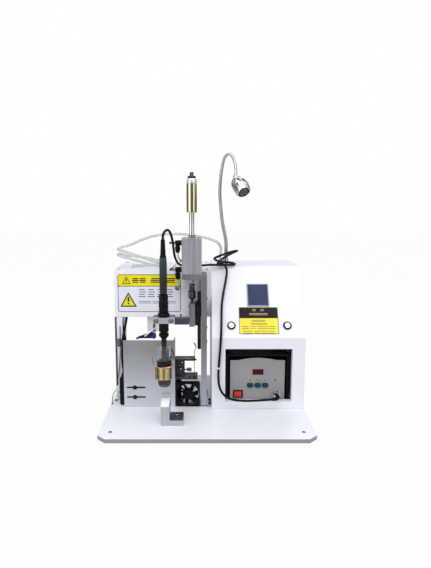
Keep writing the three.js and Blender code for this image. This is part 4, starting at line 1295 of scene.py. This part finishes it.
make_column()
make_cylinder()
make_rod()
make_sleeve()
make_floating_joint()
make_slide()
make_speed_controllers()
make_air_lines()

# ---------------------------------------------------------------- iron


def on_iron(shape):
    return moved(shape, IRON_X, IRON_Y)


def ribs(r0, r1, z0, z1, count, depth):
    """Profile points of a tapering sleeve with moulded rings."""
    points = []
    for i in range(count):
        share = i / count
        z = z0 + (z1 - z0) * share
        pitch = (z1 - z0) / count
        r = r0 + (r1 - r0) * share
        points += [
            (r, z), (r, z + pitch * 0.55), (r - depth, z + pitch * 0.68), (r - depth, z + pitch * 0.88)
        ]
    return points


def make_handle():
    relief = turned(
        [(0, 336)] + ribs(5.2, 4.2, 337, 363, 8, 0.5) + [(4, 363.5), (3.9, 366.6), (3.4, 367), (0, 367)]
    )
    neck = turned([(0, 333), (6.1, 333.4), (6.2, 334.2), (5.7, 336.6), (5.2, 337.6), (0, 337.6)])
    grip = turned([
        (0, 265.4), (6.0, 265.4), (6.7, 266.4), (fluted(6.9, 14, 0.1), 270),
        (fluted(7.0, 14, 0.55), 276), (fluted(7.1, 14, 0.6), 300),
        (fluted(6.9, 14, 0.55), 322), (fluted(6.6, 14, 0.1), 330), (6.4, 333.6), (0, 333.6),
    ], 112)
    sleeve = turned([
        (0, 228.6), (8.2, 228.6), (8.9, 229.6), (9.0, 236), (8.5, 236.6), (8.5, 237.8), (9.0, 238.4),
        (8.8, 252), (8.3, 252.6), (8.3, 253.8), (8.75, 254.4), (8.6, 262.5), (8.0, 264.6), (6.4, 265.6),
        (0, 265.6),
    ], 64)
    flange = turned([(0, 222), (10.6, 222), (11.2, 222.7), (11.2, 227.8), (10.6, 228.6), (0, 228.6)], 64)
    lower = turned([
        (0, 193), (8.9, 193), (9.45, 193.8), (9.45, 199.6), (9.0, 200.1),
        (9.0, 201.1), (9.45, 201.6), (9.45, 222.2), (0, 222.2),
    ], 64)
    parts = [
        (relief, rubber), (neck, gloss_black), (grip, grip_teal),
        (sleeve, gloss_black), (flange, gloss_black), (lower, gloss_black),
    ]
    add("iron_grip", each(parts, on_iron), "iron_carriage", ["iron_handle"])


def make_heater():
    knurl = fluted(9.4, 40, 0.45)
    nut = turned([
        (0, 180.6), (6.0, 180.6), (6.6, 181.2), (8.9, 184.4), (knurl, 185.2), (knurl, 188.8), (8.8, 189.6),
        (6.9, 190.6), (6.6, 191), (6.6, 192.6), (0, 192.6),
    ], 160)
    add("barrel_nut", [(on_iron(nut), gloss_black)], "iron_carriage", ["iron_nut"])
    barrel = turned([
        (0, 136.3), (4.3, 136.3), (4.9, 137), (4.9, 148), (4.55, 148.5), (4.55, 149.7), (4.95, 150.2),
        (5, 176), (4.7, 176.4), (4.7, 177.6), (5, 178), (5, 180.3), (0, 180.3),
    ], 48)
    add("heater_barrel", [(on_iron(barrel), heated)], "iron_carriage", ["iron_barrel"])
    tip_low, tip_high = span("iron_tip")
    low = tip_low.z
    bit = turned([
        (0, low), (0.7, low + 0.1), (1.1, low + 0.9), (2.9, low + 8),
        (3, low + 9), (3, tip_high.z), (0, tip_high.z),
    ], 40)
    add("solder_bit", [(on_iron(bit), nickel)], "iron_carriage", ["iron_tip"])


def make_clamp():
    # The arm's darker grey is painted shade.
    dress(["iron_arm"], arm_painted_shade_grey, 0.5)
    dress(["clamp_jaw"], clamp_bright, 0.5)
    z = middle_of("clamp_jaw")[2]
    places = [(x, CLAMP_LOW.y, z) for x in (CLAMP_LOW.x + 5.8, CLAMP_HIGH.x - 7)]
    rim = washer(2.2, 4.5, 0.5)
    add_screws("clamp_screw_rims", places, TOWARDS, rim, dark_screw, "iron_carriage")
    add_screws("clamp_screws", places, TOWARDS, socket_screw(3.6, 1.5), zinc, "iron_carriage")


FEED_KNOB = (-101, 181.8)  # X and Z of the arm's pivot
GUIDE_ROD = [(-118.7, -84.6, 181.4), (-113, -84.6, 186), (-106, -84.6, 191.6), (-98.6, -84.6, 197.6)]


def make_feed_arm():
    """Violet guide arm on the iron's arm, with its knurled knob and a short solder tube."""
    x, z = FEED_KNOB
    outline = [
        (x - 4, z - 4.4), (x + 3, z - 4.2), (x + 4.4, z + 3), (x + 1, z + 6.4), (x - 4.7, z + 8.6),
        (x - 9, z + 7), (-122.6, 183.4), (-130.6, 181.4), (-132.2, 179.6), (-132.2, 177.4), (-129, 177.3),
    ]
    web = eased(prism(outline, 80.6, 84), 0.7, 3, 20)
    knob = turned([
        (0, 0), (3.6, 0), (fluted(4.5, 20, 0.3), 0.8), (fluted(4.5, 20, 0.3), 4),
        (4.0, 4.6), (2.4, 4.7), (2.2, 4.2), (0, 4.2),
    ], 80)
    knob = set_at(knob, (x, -83.3, z), TOWARDS)
    tip = turned([(0, 0), (1.7, 0), (1.9, 0.3), (1.9, 4.6), (1.5, 5.2), (0, 5.2)], 32)
    tip = set_at(tip, (-130.4, -82.3, 177.9), (-0.86, 0, -0.2))
    post = turned([(0, 0), (2.3, 0), (2.5, 0.5), (2.5, 4.4), (1.6, 5), (0, 5)], 32)
    post = set_at(post, (x + 0.6, -82.3, z + 5.4), (0.25, 0, 1))
    rod_line = along(GUIDE_ROD, 0.8, 10)
    parts = [
        (placed(web, FRONT), violet), (knob, blue_knob), (tip, blue_knob), (post, nickel),
        (tube(rod_line, 1.5, 20), polished),
    ]
    add("guide_arm", parts, "feed_arm", ["feed_arm"])


make_handle()
make_heater()
make_clamp()
make_feed_arm()

# ---------------------------------------------------------------- shroud round the bit

HOOK_WIRE = ([
    (-102, -97, 154.9), (-103.2, -97.4, 150), (-103.6, -98, 144), (-103.4, -98, 139.8),
    (-102.4, -98.4, 134.6), (-99.8, -99.4, 130.3), (-96.4, -101.2, 127.2), (-92.5, -104, 125.6),
    (-87, -107.2, 125.2), (-80, -108.3, 125.8), (-73, -106.8, 126.8), (-67.6, -102.6, 128),
    (-65.4, -98, 128.6),
], copper, lambda walked: 1.0 + 0.95 * min(max((walked - 31) / 8, 0), 1))
LOOP_WIRE = ([
    (-76.6, -80.4, 160.4), (-73.6, -79.6, 159.8), (-69.4, -78, 156), (-66, -75.6, 150.6), (-64.4, -73, 144),
    (-64.2, -68, 134), (-65.6, -58, 128), (-69, -44, 127), (-73, -28.2, 127),
], gunmetal, 0.75)


def make_shroud():
    wall = 1.1
    outer = [
        (8, 85), (9.4, 85.5), (10.8, 87), (11.8, 89.4), (12.3, 92), (12.5, 96), (12.5, 134), (12.8, 140),
        (13.5, 147), (13.3, 153), (12.7, 160), (11.8, 165.6), (11.4, 166.5),
    ]
    split = next(i for i, (r, z) in enumerate(outer) if z > 100)
    cup = outer[:split] + [(12.5, 99)]
    cup_shape = turned(cup + [(r - wall, z) for r, z in cup[::-1]] + [cup[0]], 72)
    upper = [(12.5, 99)] + outer[split:]
    tube_shape = turned(upper + [(r - wall, z) for r, z in upper[::-1]] + [upper[0]], 72)
    parts = [(on_iron(tube_shape), clear_glass), (on_iron(cup_shape), smoked_glass)]
    add("glass_chimney", parts, stands_for=["shroud_glass"])
    sleeve_low, sleeve_high = span("shroud_sleeve")
    r, z0, z1 = 14.4, sleeve_low.z, sleeve_high.z
    profile = [
        (12.9, z0), (r - 0.4, z0), (r + 0.1, z0 + 0.5), (r + 0.1, z0 + 1.6), (r - 0.35, z0 + 2),
        (r - 0.35, z1 - 3.4), (r, z1 - 2.8), (r + 0.1, z1 - 1), (r - 0.4, z1), (12.9, z1), (12.9, z0),
    ]
    flange = block(-r - 3.2, -r + 0.6, -3.9, -3.2, z0 - 0.4, z1 - 1, 0.15)
    lip = block(-r - 3.2, -r + 0.6, -3.9, 0.4, z0 - 1.2, z0 - 0.4, 0.15)
    parts = [(on_iron(turned(profile, 96)), brass), (on_iron(flange), brass), (on_iron(lip), brown_enamel)]
    add("brass_sleeve", parts, stands_for=["shroud_sleeve"])
    dress(["shroud_holder"], brown_enamel, 0.4)
    wires = {"left_hook": HOOK_WIRE, "right_hook": LOOP_WIRE}
    for name, (points, finish, radius) in wires.items():
        line = along(points, 0.9)
        add(name, [(tube(line, radius, 14), finish)])


make_shroud()

# ---------------------------------------------------------------- shield panel, feeder and its motor


SLOT_X, SLOTS_Z = -147, (57.8, 37.1)  # screws in the panel's two slots


def make_shield():
    dress(["shield_panel"], grey_coat, 0.4)
    heads = []
    for z in SLOTS_Z:
        heads.append(set_at(washer(1.8, 4.6, 0.9), (SLOT_X, SHIELD_LOW.y, z), TOWARDS))
        heads.append(set_at(pan_screw(3.5, 2.0), (SLOT_X, SHIELD_LOW.y - 0.9, z), TOWARDS))
    add("panel_slot_screws", [(merged(*heads), gunmetal)])
    back = SHIELD_LOW.y + 2.2
    carrier = block(-165, -123.5, back, back + 1.4, 31, 64, 0.4)
    add("motor_carrier", [(carrier, gunmetal)])
    floor_screws = [(x, SHIELD_HIGH.y - 9, SHIELD_LOW.z + 2) for x in (-120, -80)]
    add_screws("panel_foot_screws", floor_screws, UP, socket_screw(2.6, 2.2), dark_screw)


def make_feeder():
    """Guide bar, roller block and lower bracket of the solder feeder."""
    low = span("feeder_block")[0]
    left = low.x
    # The bar's top block in lighter grey is painted light on its top; its lower block takes the bracket's
    # dark colour.
    bar_top = block(left, -23.4, -19.9, -8.1, 116.2, 119.7, 0.5)
    bar_low = block(left, -26.5, -19.6, -8.4, 112.5, 116.4, 0.6)
    bar_end = block(-26.8, -23.3, -20.2, -7.8, 112.6, 118.2, 0.8)
    body = block(left, -45, -20, 5, 78, 113, 0.8)
    step = block(left, -50, -22.4, -19.6, 84, 101, 1.2)
    lower = block(left, -18, -12, 5, 69.5, 80.5, 0.9)
    post = block(left, -52, -7, 8, low.z, 72, 0.6)
    seam = block(left, -46, -20.5, -19.8, 103, 103.8, 0.1)
    stop = turned([(0, 0), (1.5, 0), (1.9, 0.5), (1.9, 2.6), (1.4, 3.2), (0, 3.2)], 28)
    stop = set_at(stop, (-23.4, -21.2, 116), RIGHT)
    parts = [
        (bar_top, bar_top_painted_light_grey), (merged(bar_low, bar_end, body, step, stop), dark_bracket), (lower, cast_brown),
        (post, gunmetal), (seam, cast_brown),
    ]
    add("feeder_body", parts, stands_for=["feeder_block"])
    places = [(-49.4, -20, 109.4), (-52.2, -22.4, 96.4)]
    add_screws("feeder_screws", places, TOWARDS, socket_screw(1.5, 1.0), nickel)
    low_places = [(-34, -12, 75.4), (-24.6, -12, 75.4)]
    add_screws("bracket_screws", low_places, TOWARDS, socket_screw(2.1, 1.2), dark_screw)


def make_thumb_screw():
    x = span("feeder_thumb_screw")[0].x
    _, y, z = middle_of("feeder_thumb_screw")
    grip = fluted(3.9, 22, 0.45)
    shape = turned([
        (0, 0), (1.5, 0), (1.5, 4.4), (2.6, 4.8), (3.3, 5), (grip, 5.8),
        (grip, 13.2), (3.2, 14), (2.4, 14.4), (0, 14.5),
    ], 110)
    parts = [(set_at(shape, (x, y, z), RIGHT), cast_brown)]
    add("tension_knob", parts, "feeder_thumb_screw", ["feeder_thumb_screw"])


FEED_WIRE = [
    (-24.4, -33.3, 154.5), (-23.4, -33.5, 151.9), (-21.6, -33.5, 148.9), (-21.2, -33.5, 145.5),
    (-22.6, -33.5, 141.5), (-23.8, -33.5, 138.4), (-24.3, -33.5, 132), (-24.4, -33.3, 120),
    (-24.4, -31.5, 101.8), (-24.4, -27.5, 84.8), (-24.4, -20, 78), (-24.4, -12.4, 76.6),
]


def make_feed_wire():
    """Stiff sensing wire beside the feeder, thicker at its hooked top."""
    line = along(FEED_WIRE, 0.9)

    def thick(walked):
        return 0.55 + 0.75 * max(0.0, 1 - (walked - 2) / 10) if walked < 12 else 0.55

    add("sensing_wire", [(tube(line, thick, 14), gunmetal)])


def make_motor():
    """Stepping motor behind the panel: laminated middle, two end caps, terminal block and shaft."""
    x0, x1, y0, y1, z1 = -180, -140, -16, 14.8, 75.7
    z0 = span("feeder_motor")[0].z
    corner = 3.5

    def slab(y_front, y_back, inset, ease):
        line = rounded(x0 + inset, x1 - inset, z0 + inset, z1 - inset, corner)
        return placed(eased(prism(line, -y_back, -y_front), ease, 2), FRONT)

    caps = merged(slab(y0, y0 + 8, 0, 0.6), slab(y1 - 8, y1, 0, 0.6))
    core = merged(
        *[slab(y0 + 8 + i * 1.85, y0 + 9.5 + i * 1.85, 0.5, 0.2) for i in range(8)],
        slab(y0 + 7, y1 - 7, 1.2, 0)
    )
    pin = turned([(0, 0), (3.5, 0), (4, 0.5), (4, 8.1), (3.5, 8.6), (0, 8.6)], 32)
    pins = merged(*[set_at(pin, (SLOT_X, y0 - 7.8, z), AWAY) for z in SLOTS_Z])
    shaft = turned([(0, 0), (14, 0), (14, 5), (9, 5.6), (9, 8), (2.6, 8.4), (2.6, 14.6), (0, 15)], 48)
    shaft = set_at(shaft, (x1, 0, 48), RIGHT)
    parts = [(caps, black_plastic), (core, gunmetal), (pins, zinc), (shaft, zinc)]
    add("feed_motor", parts, stands_for=["feeder_motor"])
    blades = merged(
        *[block(x0 - 4.4, x0 + 1, 2.6 + i * 3.4, 4.2 + i * 3.4, 34.6, 39.6, 0.2) for i in range(2)]
    )
    socket = block(x0 - 9.4, x0 + 1, 3.6, 10.6, 39, 50, 0.6)
    latch = block(x0 - 8, x0 - 3, 3, 4, 41, 48, 0.3)
    add("motor_terminals", [(blades, zinc), (merged(socket, latch), label_white)])


MOTOR_LEAD = [
    (-169, 40, 205), (-169.4, 37, 195), (-170.4, 28, 182), (-172.2, 17, 168), (-174.6, 11, 154),
    (-176.4, 9, 138), (-177, 8, 120), (-176.4, 6.6, 102), (-174.6, 5, 88), (-173, 4, 76.1),
]
EARTH_WIRE = [
    (-189.4, 5.4, 41.6), (-191.6, 6.4, 39.4), (-194, 5.6, 37.4), (-196.6, 2.8, 33), (-197.8, -1.6, 27.4),
    (-197.9, -6, 22), (-197.4, -9.2, 17.6), (-197.3, -9.6, 15),
]
SIGNAL_WIRE = [
    (-181, 36, 203), (-181.4, 28, 192), (-181.2, 16, 178), (-180.8, 12, 160), (-181.4, 12, 140),
    (-182, 12, 116), (-183.2, 12, 96), (-184.4, 11.6, 80), (-187, 10, 66), (-188.8, 8.6, 56),
    (-188, 7.4, 49.6),
]
EARTH_LUG = (-191.6, 8.4)


def make_motor_lead():
    line = along(MOTOR_LEAD, 1.6)
    add("motor_cable", [(tube(line, 2.5, 18), jacket)], stands_for=["motor_lead"])
    boot = turned([(0, 0), (4.6, 0), (5, 0.6), (5, 3), (4.2, 4), (3.8, 7), (3, 8.4), (0, 8.4)], 36)
    add("motor_cable_boot", [(moved(boot, -173, 4, 75.7), rubber)])
    for name, points, radius in (("earth_wire", EARTH_WIRE, 0.8), ("signal_wire", SIGNAL_WIRE, 0.9)):
        wire = along(points, 1.2)
        add(name, [(tube(wire, radius, 14), dark_wire)])
    x, y = EARTH_LUG
    tag = turned([(1.6, 0), (3.4, 0), (3.5, 0.2), (3.5, 0.7), (3.3, 0.9), (1.6, 0.9), (1.6, 0)], 36)
    head = moved(pan_screw(2.8, 1.6), x, y, FLOOR + 0.9)
    add("earth_terminal", [(moved(tag, x, y, FLOOR), zinc), (head, gunmetal)])
    hole = EARTH_WIRE[-1]
    grommet = turned([(0.85, 0), (2.1, 0), (2.2, 0.5), (1.7, 1), (0.85, 1), (0.85, 0)], 32)
    add("earth_grommet", [(moved(grommet, hole[0], hole[1], FLOOR), rubber)])


make_shield()
make_feeder()
make_thumb_screw()
make_feed_wire()
make_motor()
make_motor_lead()

# ---------------------------------------------------------------- fan

FAN_R = 23.3  # bore of the fan's frame
FAN_X, _, FAN_Z = middle_of("fan_frame")


def on_fan(shape):
    """Puts a shape made along +Z on the fan's axis, facing the operator."""
    return moved(placed(shape, FRONT), FAN_X, FAN_LOW.y, FAN_Z)


def fan_blade(start):
    """One swept, twisted blade, from the hub to just inside the bore."""
    steps, across = 7, 8
    points, faces = [], []
    for side in (0, 1):
        for i in range(steps + 1):
            share = i / steps
            r = 10.4 + share * 11.6
            pitch = math.radians(52 - 20 * share)
            chord = 9.6 + 1.6 * share
            for k in range(across + 1):
                along = (k / across - 0.5) * chord
                angle = start + 0.16 * share + along * math.sin(pitch) / r
                depth = 6.2 + along * math.cos(pitch) + (0.5 if side else -0.5)
                points.append((r * math.cos(angle), r * math.sin(angle), -depth))
    row = across + 1
    layer = (steps + 1) * row
    for i in range(steps):
        for k in range(across):
            a, b = i * row + k, (i + 1) * row + k
            faces.append([a, a + 1, b + 1, b])
            faces.append([layer + a, layer + b, layer + b + 1, layer + a + 1])
    rim = [i * row for i in range(steps + 1)] + [steps * row + k for k in range(1, row)]
    rim += [i * row + across for i in range(steps - 1, -1, -1)] + list(range(across - 1, 0, -1))
    for a, b in zip(rim, rim[1:] + rim[:1]):
        faces.append([a, b, layer + b, layer + a])
    return points, faces


def make_fan():
    dress(["fan_frame"], black_plastic, 0.5)
    hub = turned(
        [(0, -11.2), (10.8, -11.2), (11, -10.8), (11, -1.9), (10.6, -1.2), (9.6, -0.9), (0, -0.8)], 64
    )
    badge = turned([(0, -0.85), (8.2, -0.85), (8.3, -0.7), (8.1, -0.6), (0, -0.6)], 48)
    blades = merged(*[fan_blade(2 * math.pi * i / 7) for i in range(7)])
    parts = [(hub, black_plastic), (badge, case_grey), (blades, black_plastic)]
    add("fan_impeller", each(parts, on_fan), "fan_rotor", ["fan_rotor"])
    places = [(FAN_X + sx * 20, FAN_LOW.y + 0.2, FAN_Z + sz * 20) for sx in (-1, 1) for sz in (-1, 1)]
    add_screws("fan_screws", places, TOWARDS, pan_screw(2.6, 1.2), dark_screw)
    rim = turned([
        (FAN_R, -0.1), (FAN_R + 0.9, -0.1), (FAN_R + 1.1, 0.15),
        (FAN_R + 0.9, 0.4), (FAN_R + 0.2, 0.4), (FAN_R, -0.1),
    ], 96)
    add("fan_rim", [(on_fan(rim), black_plastic)])


make_fan()

# ---------------------------------------------------------------- work fixture


def make_fixture():
    dress(["fixture_block"], post_grey, 0.5)
    # Dark mottled plate with ridges on the foot's top.
    pad = block(-70.2, POST_HIGH.x - 0.5, POST_LOW.y + 0.5, -80, 26, 27.6, 0.4)
    ridges = [
        block(-69.4 + i * 3.1, -67.6 + i * 3.1, POST_LOW.y + 1.2, -80.7, 27.5, 28.3, 0.25)
        for i in range(8) if not 2 < i < 6
    ]
    add("fixture_pad", [(merged(pad, *ridges), mottled_dark_steel)])
    places = [(-57.3, -99, 27.6)]
    add_screws("fixture_screw", places, UP, socket_screw(4.6, 4.4), zinc)
    # Near-white sheet over the post's top and front edge: painted light on the post's lit top.
    seat = block(-87, -71, POST_LOW.y + 0.4, -83.5, 57.1, 58.3, 0.35)
    face = block(-87, -71, POST_LOW.y - 0.9, POST_LOW.y + 0.5, 53.4, 58.3, 0.35)
    add("post_painted_lit_top", [(merged(seat, face), post_top_painted_light_white)])


make_fixture()

# ---------------------------------------------------------------- lamp

LAMP_FOOT = (43.5, 85, BOX_HIGH.z)
LAMP_NECK = [
    (43.5, 85, 307), (44, 85, 325), (43.5, 85, 351), (39.5, 85, 372), (35.4, 85, 392.3), (31.4, 85, 428.8),
    (30.1, 85, 446), (29.8, 85, 460.6), (31.3, 85, 486), (35.6, 84, 515.2), (40.1, 83, 529.6),
    (48, 81, 536.1), (54.5, 78, 532), (58.4, 75, 522.9), (61.5, 71.5, 512.3), (62.6, 67.5, 501),
    (62, 63.5, 490),
]


def make_lamp():
    foot = turned([
        (0, 0.2), (12, 0.2), (12.2, 0.6), (12.2, 2.4), (11.6, 3.2), (8.6, 6.4),
        (6.6, 8.4), (6.4, 9), (5.6, 9.3), (5.5, 15), (5, 16), (0, 16),
    ], 64)
    add("lamp_foot", [(moved(foot, *LAMP_FOOT), nickel)], stands_for=["lamp_stand"])
    line = along(LAMP_NECK, 0.45)
    length = route_length(line)
    pitch = 2.25  # of the coils

    def coil(walked):
        return 3.9 - 1.1 * walked / length - 0.06 * abs(math.sin(math.pi * walked / pitch)) ** 3

    neck = make_piece("lamp_gooseneck", [(tube(line, coil, 24), neck_steel)], 60)
    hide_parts("lamp_neck")
    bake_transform(neck)


HEAD_FROM = Vector((62.2, 61.5, 486.5))
HEAD_TO = Vector((78.3, 32, 452.4))


def make_lamp_head():
    shell = turned([
        (0, 0), (4.6, 0), (5.4, 0.8), (6, 2.4), (9, 4.6), (12.4, 8), (15, 12.4), (16.5, 17.6), (17, 23),
        (16.9, 29), (16.4, 34.4), (15.9, 37.8), (15.4, 38.2), (15.4, 39), (15.7, 39.4), (15.2, 42.8),
        (14.4, 44.6), (13.4, 45), (12.5, 44.6), (12.1, 41.4), (0, 41.2),
    ], 96)
    lens = turned([(0, 41.1), (12, 41.1), (12, 42), (11.2, 42.5), (8, 42.8), (0, 42.9)], 72)
    bead = turned([(0, 42.6), (2.2, 42.6), (2.1, 43.2), (1.3, 43.6), (0, 43.7)], 28)
    emitters = merged(*[moved(bead, x, y) for x, y in regular(6.6, 6) + [(0, 0)]])
    arc = [math.radians(degrees) for degrees in range(15, 180, 15)]
    round_part = [(5.4 * math.sin(a), -1.2 - 5.4 * math.cos(a)) for a in arc]
    ball = turned([(0, -6.6)] + round_part + [(0, 4.2)], 40)
    aim = HEAD_TO - HEAD_FROM
    parts = [(shell, lamp_chrome), (lens, lens_black), (emitters, lens_clear), (ball, nickel)]
    add("lamp_shade", each(parts, set_at, HEAD_FROM, aim), "lamp_head", ["lamp_head"])


make_lamp()
make_lamp_head()

# ---------------------------------------------------------------- fittings at the cords


def make_cord_fittings():
    hose_start = air_hose_line[0]
    fitting = turned([
        (0, 0), (6.2, 0), (hexed(12.4), 0.6), (hexed(12.4), 4), (5.4, 4.4), (5.4, 6),
        (4.9, 6.4), (4.9, 7.6), (3.1, 7.6), (3.1, 4), (0, 4),
    ], 60)
    add("hose_fitting", [(moved(fitting, hose_start.x, hose_start.y, BOX_HIGH.z), black_plastic)])
    lead = along(LEAD_ROUTE, 1.0)
    band_at = min(range(len(lead)), key=lambda i: (lead[i] - Vector((24.8, -40.3, 104))).length)
    aim = lead[band_at + 1] - lead[band_at]
    band = turned(
        [(2.3, -1.6), (2.75, -1.6), (2.9, -1.2), (2.9, 1.2), (2.75, 1.6), (2.3, 1.6), (2.3, -1.6)], 36
    )
    add("lead_band", [(set_at(band, lead[band_at], aim), label_white)])


make_cord_fittings()

# ---------------------------------------------------------------- stage and light


WHITE = (1, 1, 1, 1)


def seen_directly(tree):
    """1 for rays from the camera and through clear pieces, 0 for those that light the machine."""
    ray = new_node(tree, "LightPath").outputs
    seen = new_node(
        tree, "Math", feeds={0: ray["Is Camera Ray"], 1: ray["Is Transmission Ray"]}, operation="MAXIMUM"
    )
    return seen.outputs["Value"]


def mixed(tree, factor, first, second, target):
    """Sends two shaders, mixed by factor, to a node's surface."""
    mix = new_node(tree, "MixShader", feeds={"Fac": factor, 1: first, 2: second})
    tree.links.new(mix.outputs["Shader"], tree.nodes[target].inputs["Surface"])


def whiten(made, share):
    """Shows this share of plain white over the material. Light that it throws on others is unchanged."""
    tree = made.node_tree
    white = new_node(tree, "Emission", {"Color": WHITE})
    part = new_node(tree, "Math", {1: share}, {0: seen_directly(tree)}, operation="MULTIPLY")
    plain = tree.nodes["Principled BSDF"].outputs["BSDF"]
    mixed(tree, part.outputs["Value"], plain, white.outputs["Emission"], "Material Output")


FLOOR_HALF_M = 9.0
FLOOR_DROP_M = 0.0002  # keeps the floor clear of the feet


def make_stage():
    whiten(floor_pale, 0.97)
    corners = [(x * FLOOR_HALF_M, y * FLOOR_HALF_M, 0) for x, y in ((-1, -1), (1, -1), (1, 1), (-1, 1))]
    mesh = bpy.data.meshes.new("floor")
    mesh.from_pydata(corners, [], [[0, 1, 2, 3]])
    mesh.materials.append(floor_pale)
    floor = bpy.data.objects.new("floor", mesh)
    floor.location.z = -FLOOR_DROP_M
    bpy.context.scene.collection.objects.link(floor)


def make_light(name, place, size, power, aim=(0, 0, 0.25)):
    data = bpy.data.lights.new(name, "AREA")
    data.shape = "RECTANGLE"
    data.size, data.size_y = size
    data.energy = power
    light = bpy.data.objects.new(name, data)
    light.location = place
    light.rotation_euler = (Vector(aim) - Vector(place)).to_track_quat("-Z", "Y").to_euler()
    bpy.context.scene.collection.objects.link(light)


def make_world():
    """White backdrop for the camera. What lights the machine is darker low down, bright overhead, and
    crossed by upright light and dark bands, as from studio flags."""
    world = bpy.data.worlds.new("studio")
    world.use_nodes = True
    bpy.context.scene.world = world
    tree = world.node_tree
    room = tree.nodes["Background"]
    backdrop = new_node(tree, "Background", {"Strength": 1.0, "Color": WHITE})
    place = new_node(tree, "TexCoord").outputs["Generated"]
    split = new_node(tree, "SeparateXYZ", feeds={"Vector": place})
    stops = [(0.0, (0.14, 0.14, 0.15, 1)), (0.35, (0.4, 0.4, 0.43, 1)), (0.9, (0.8, 0.8, 0.83, 1))]
    rise = color_ramp(tree, stops, split.outputs["Z"])
    flats = new_node(tree, "Mapping", {"Scale": (1, 1, 0.2)}, {"Vector": place})
    cloud = new_node(tree, "TexNoise", {"Scale": 3.4, "Detail": 0}, {"Vector": flats.outputs["Vector"]})
    levels = {"From Min": 0.42, "From Max": 0.58, "To Min": 0.25, "To Max": 1.6}
    bands = new_node(tree, "MapRange", levels, {"Value": cloud.outputs["Fac"]})
    tree.links.new(bands.outputs["Result"], room.inputs["Strength"])
    tree.links.new(rise, room.inputs["Color"])
    seen = seen_directly(tree)
    mixed(tree, seen, room.outputs["Background"], backdrop.outputs["Background"], "World Output")


make_stage()
make_world()
make_light("overhead", (-0.1, -0.7, 1.5), (1.5, 0.9), 9.6)
make_light("left_panel", (-1.25, -1.05, 0.7), (1.3, 1.5), 11.2)
make_light("right_panel", (1.25, -1.05, 0.7), (1.1, 1.5), 5.6)
make_light("back", (0.2, 1.3, 1.3), (1.4, 0.7), 5)
bpy.context.scene.view_settings.view_transform = "Standard"
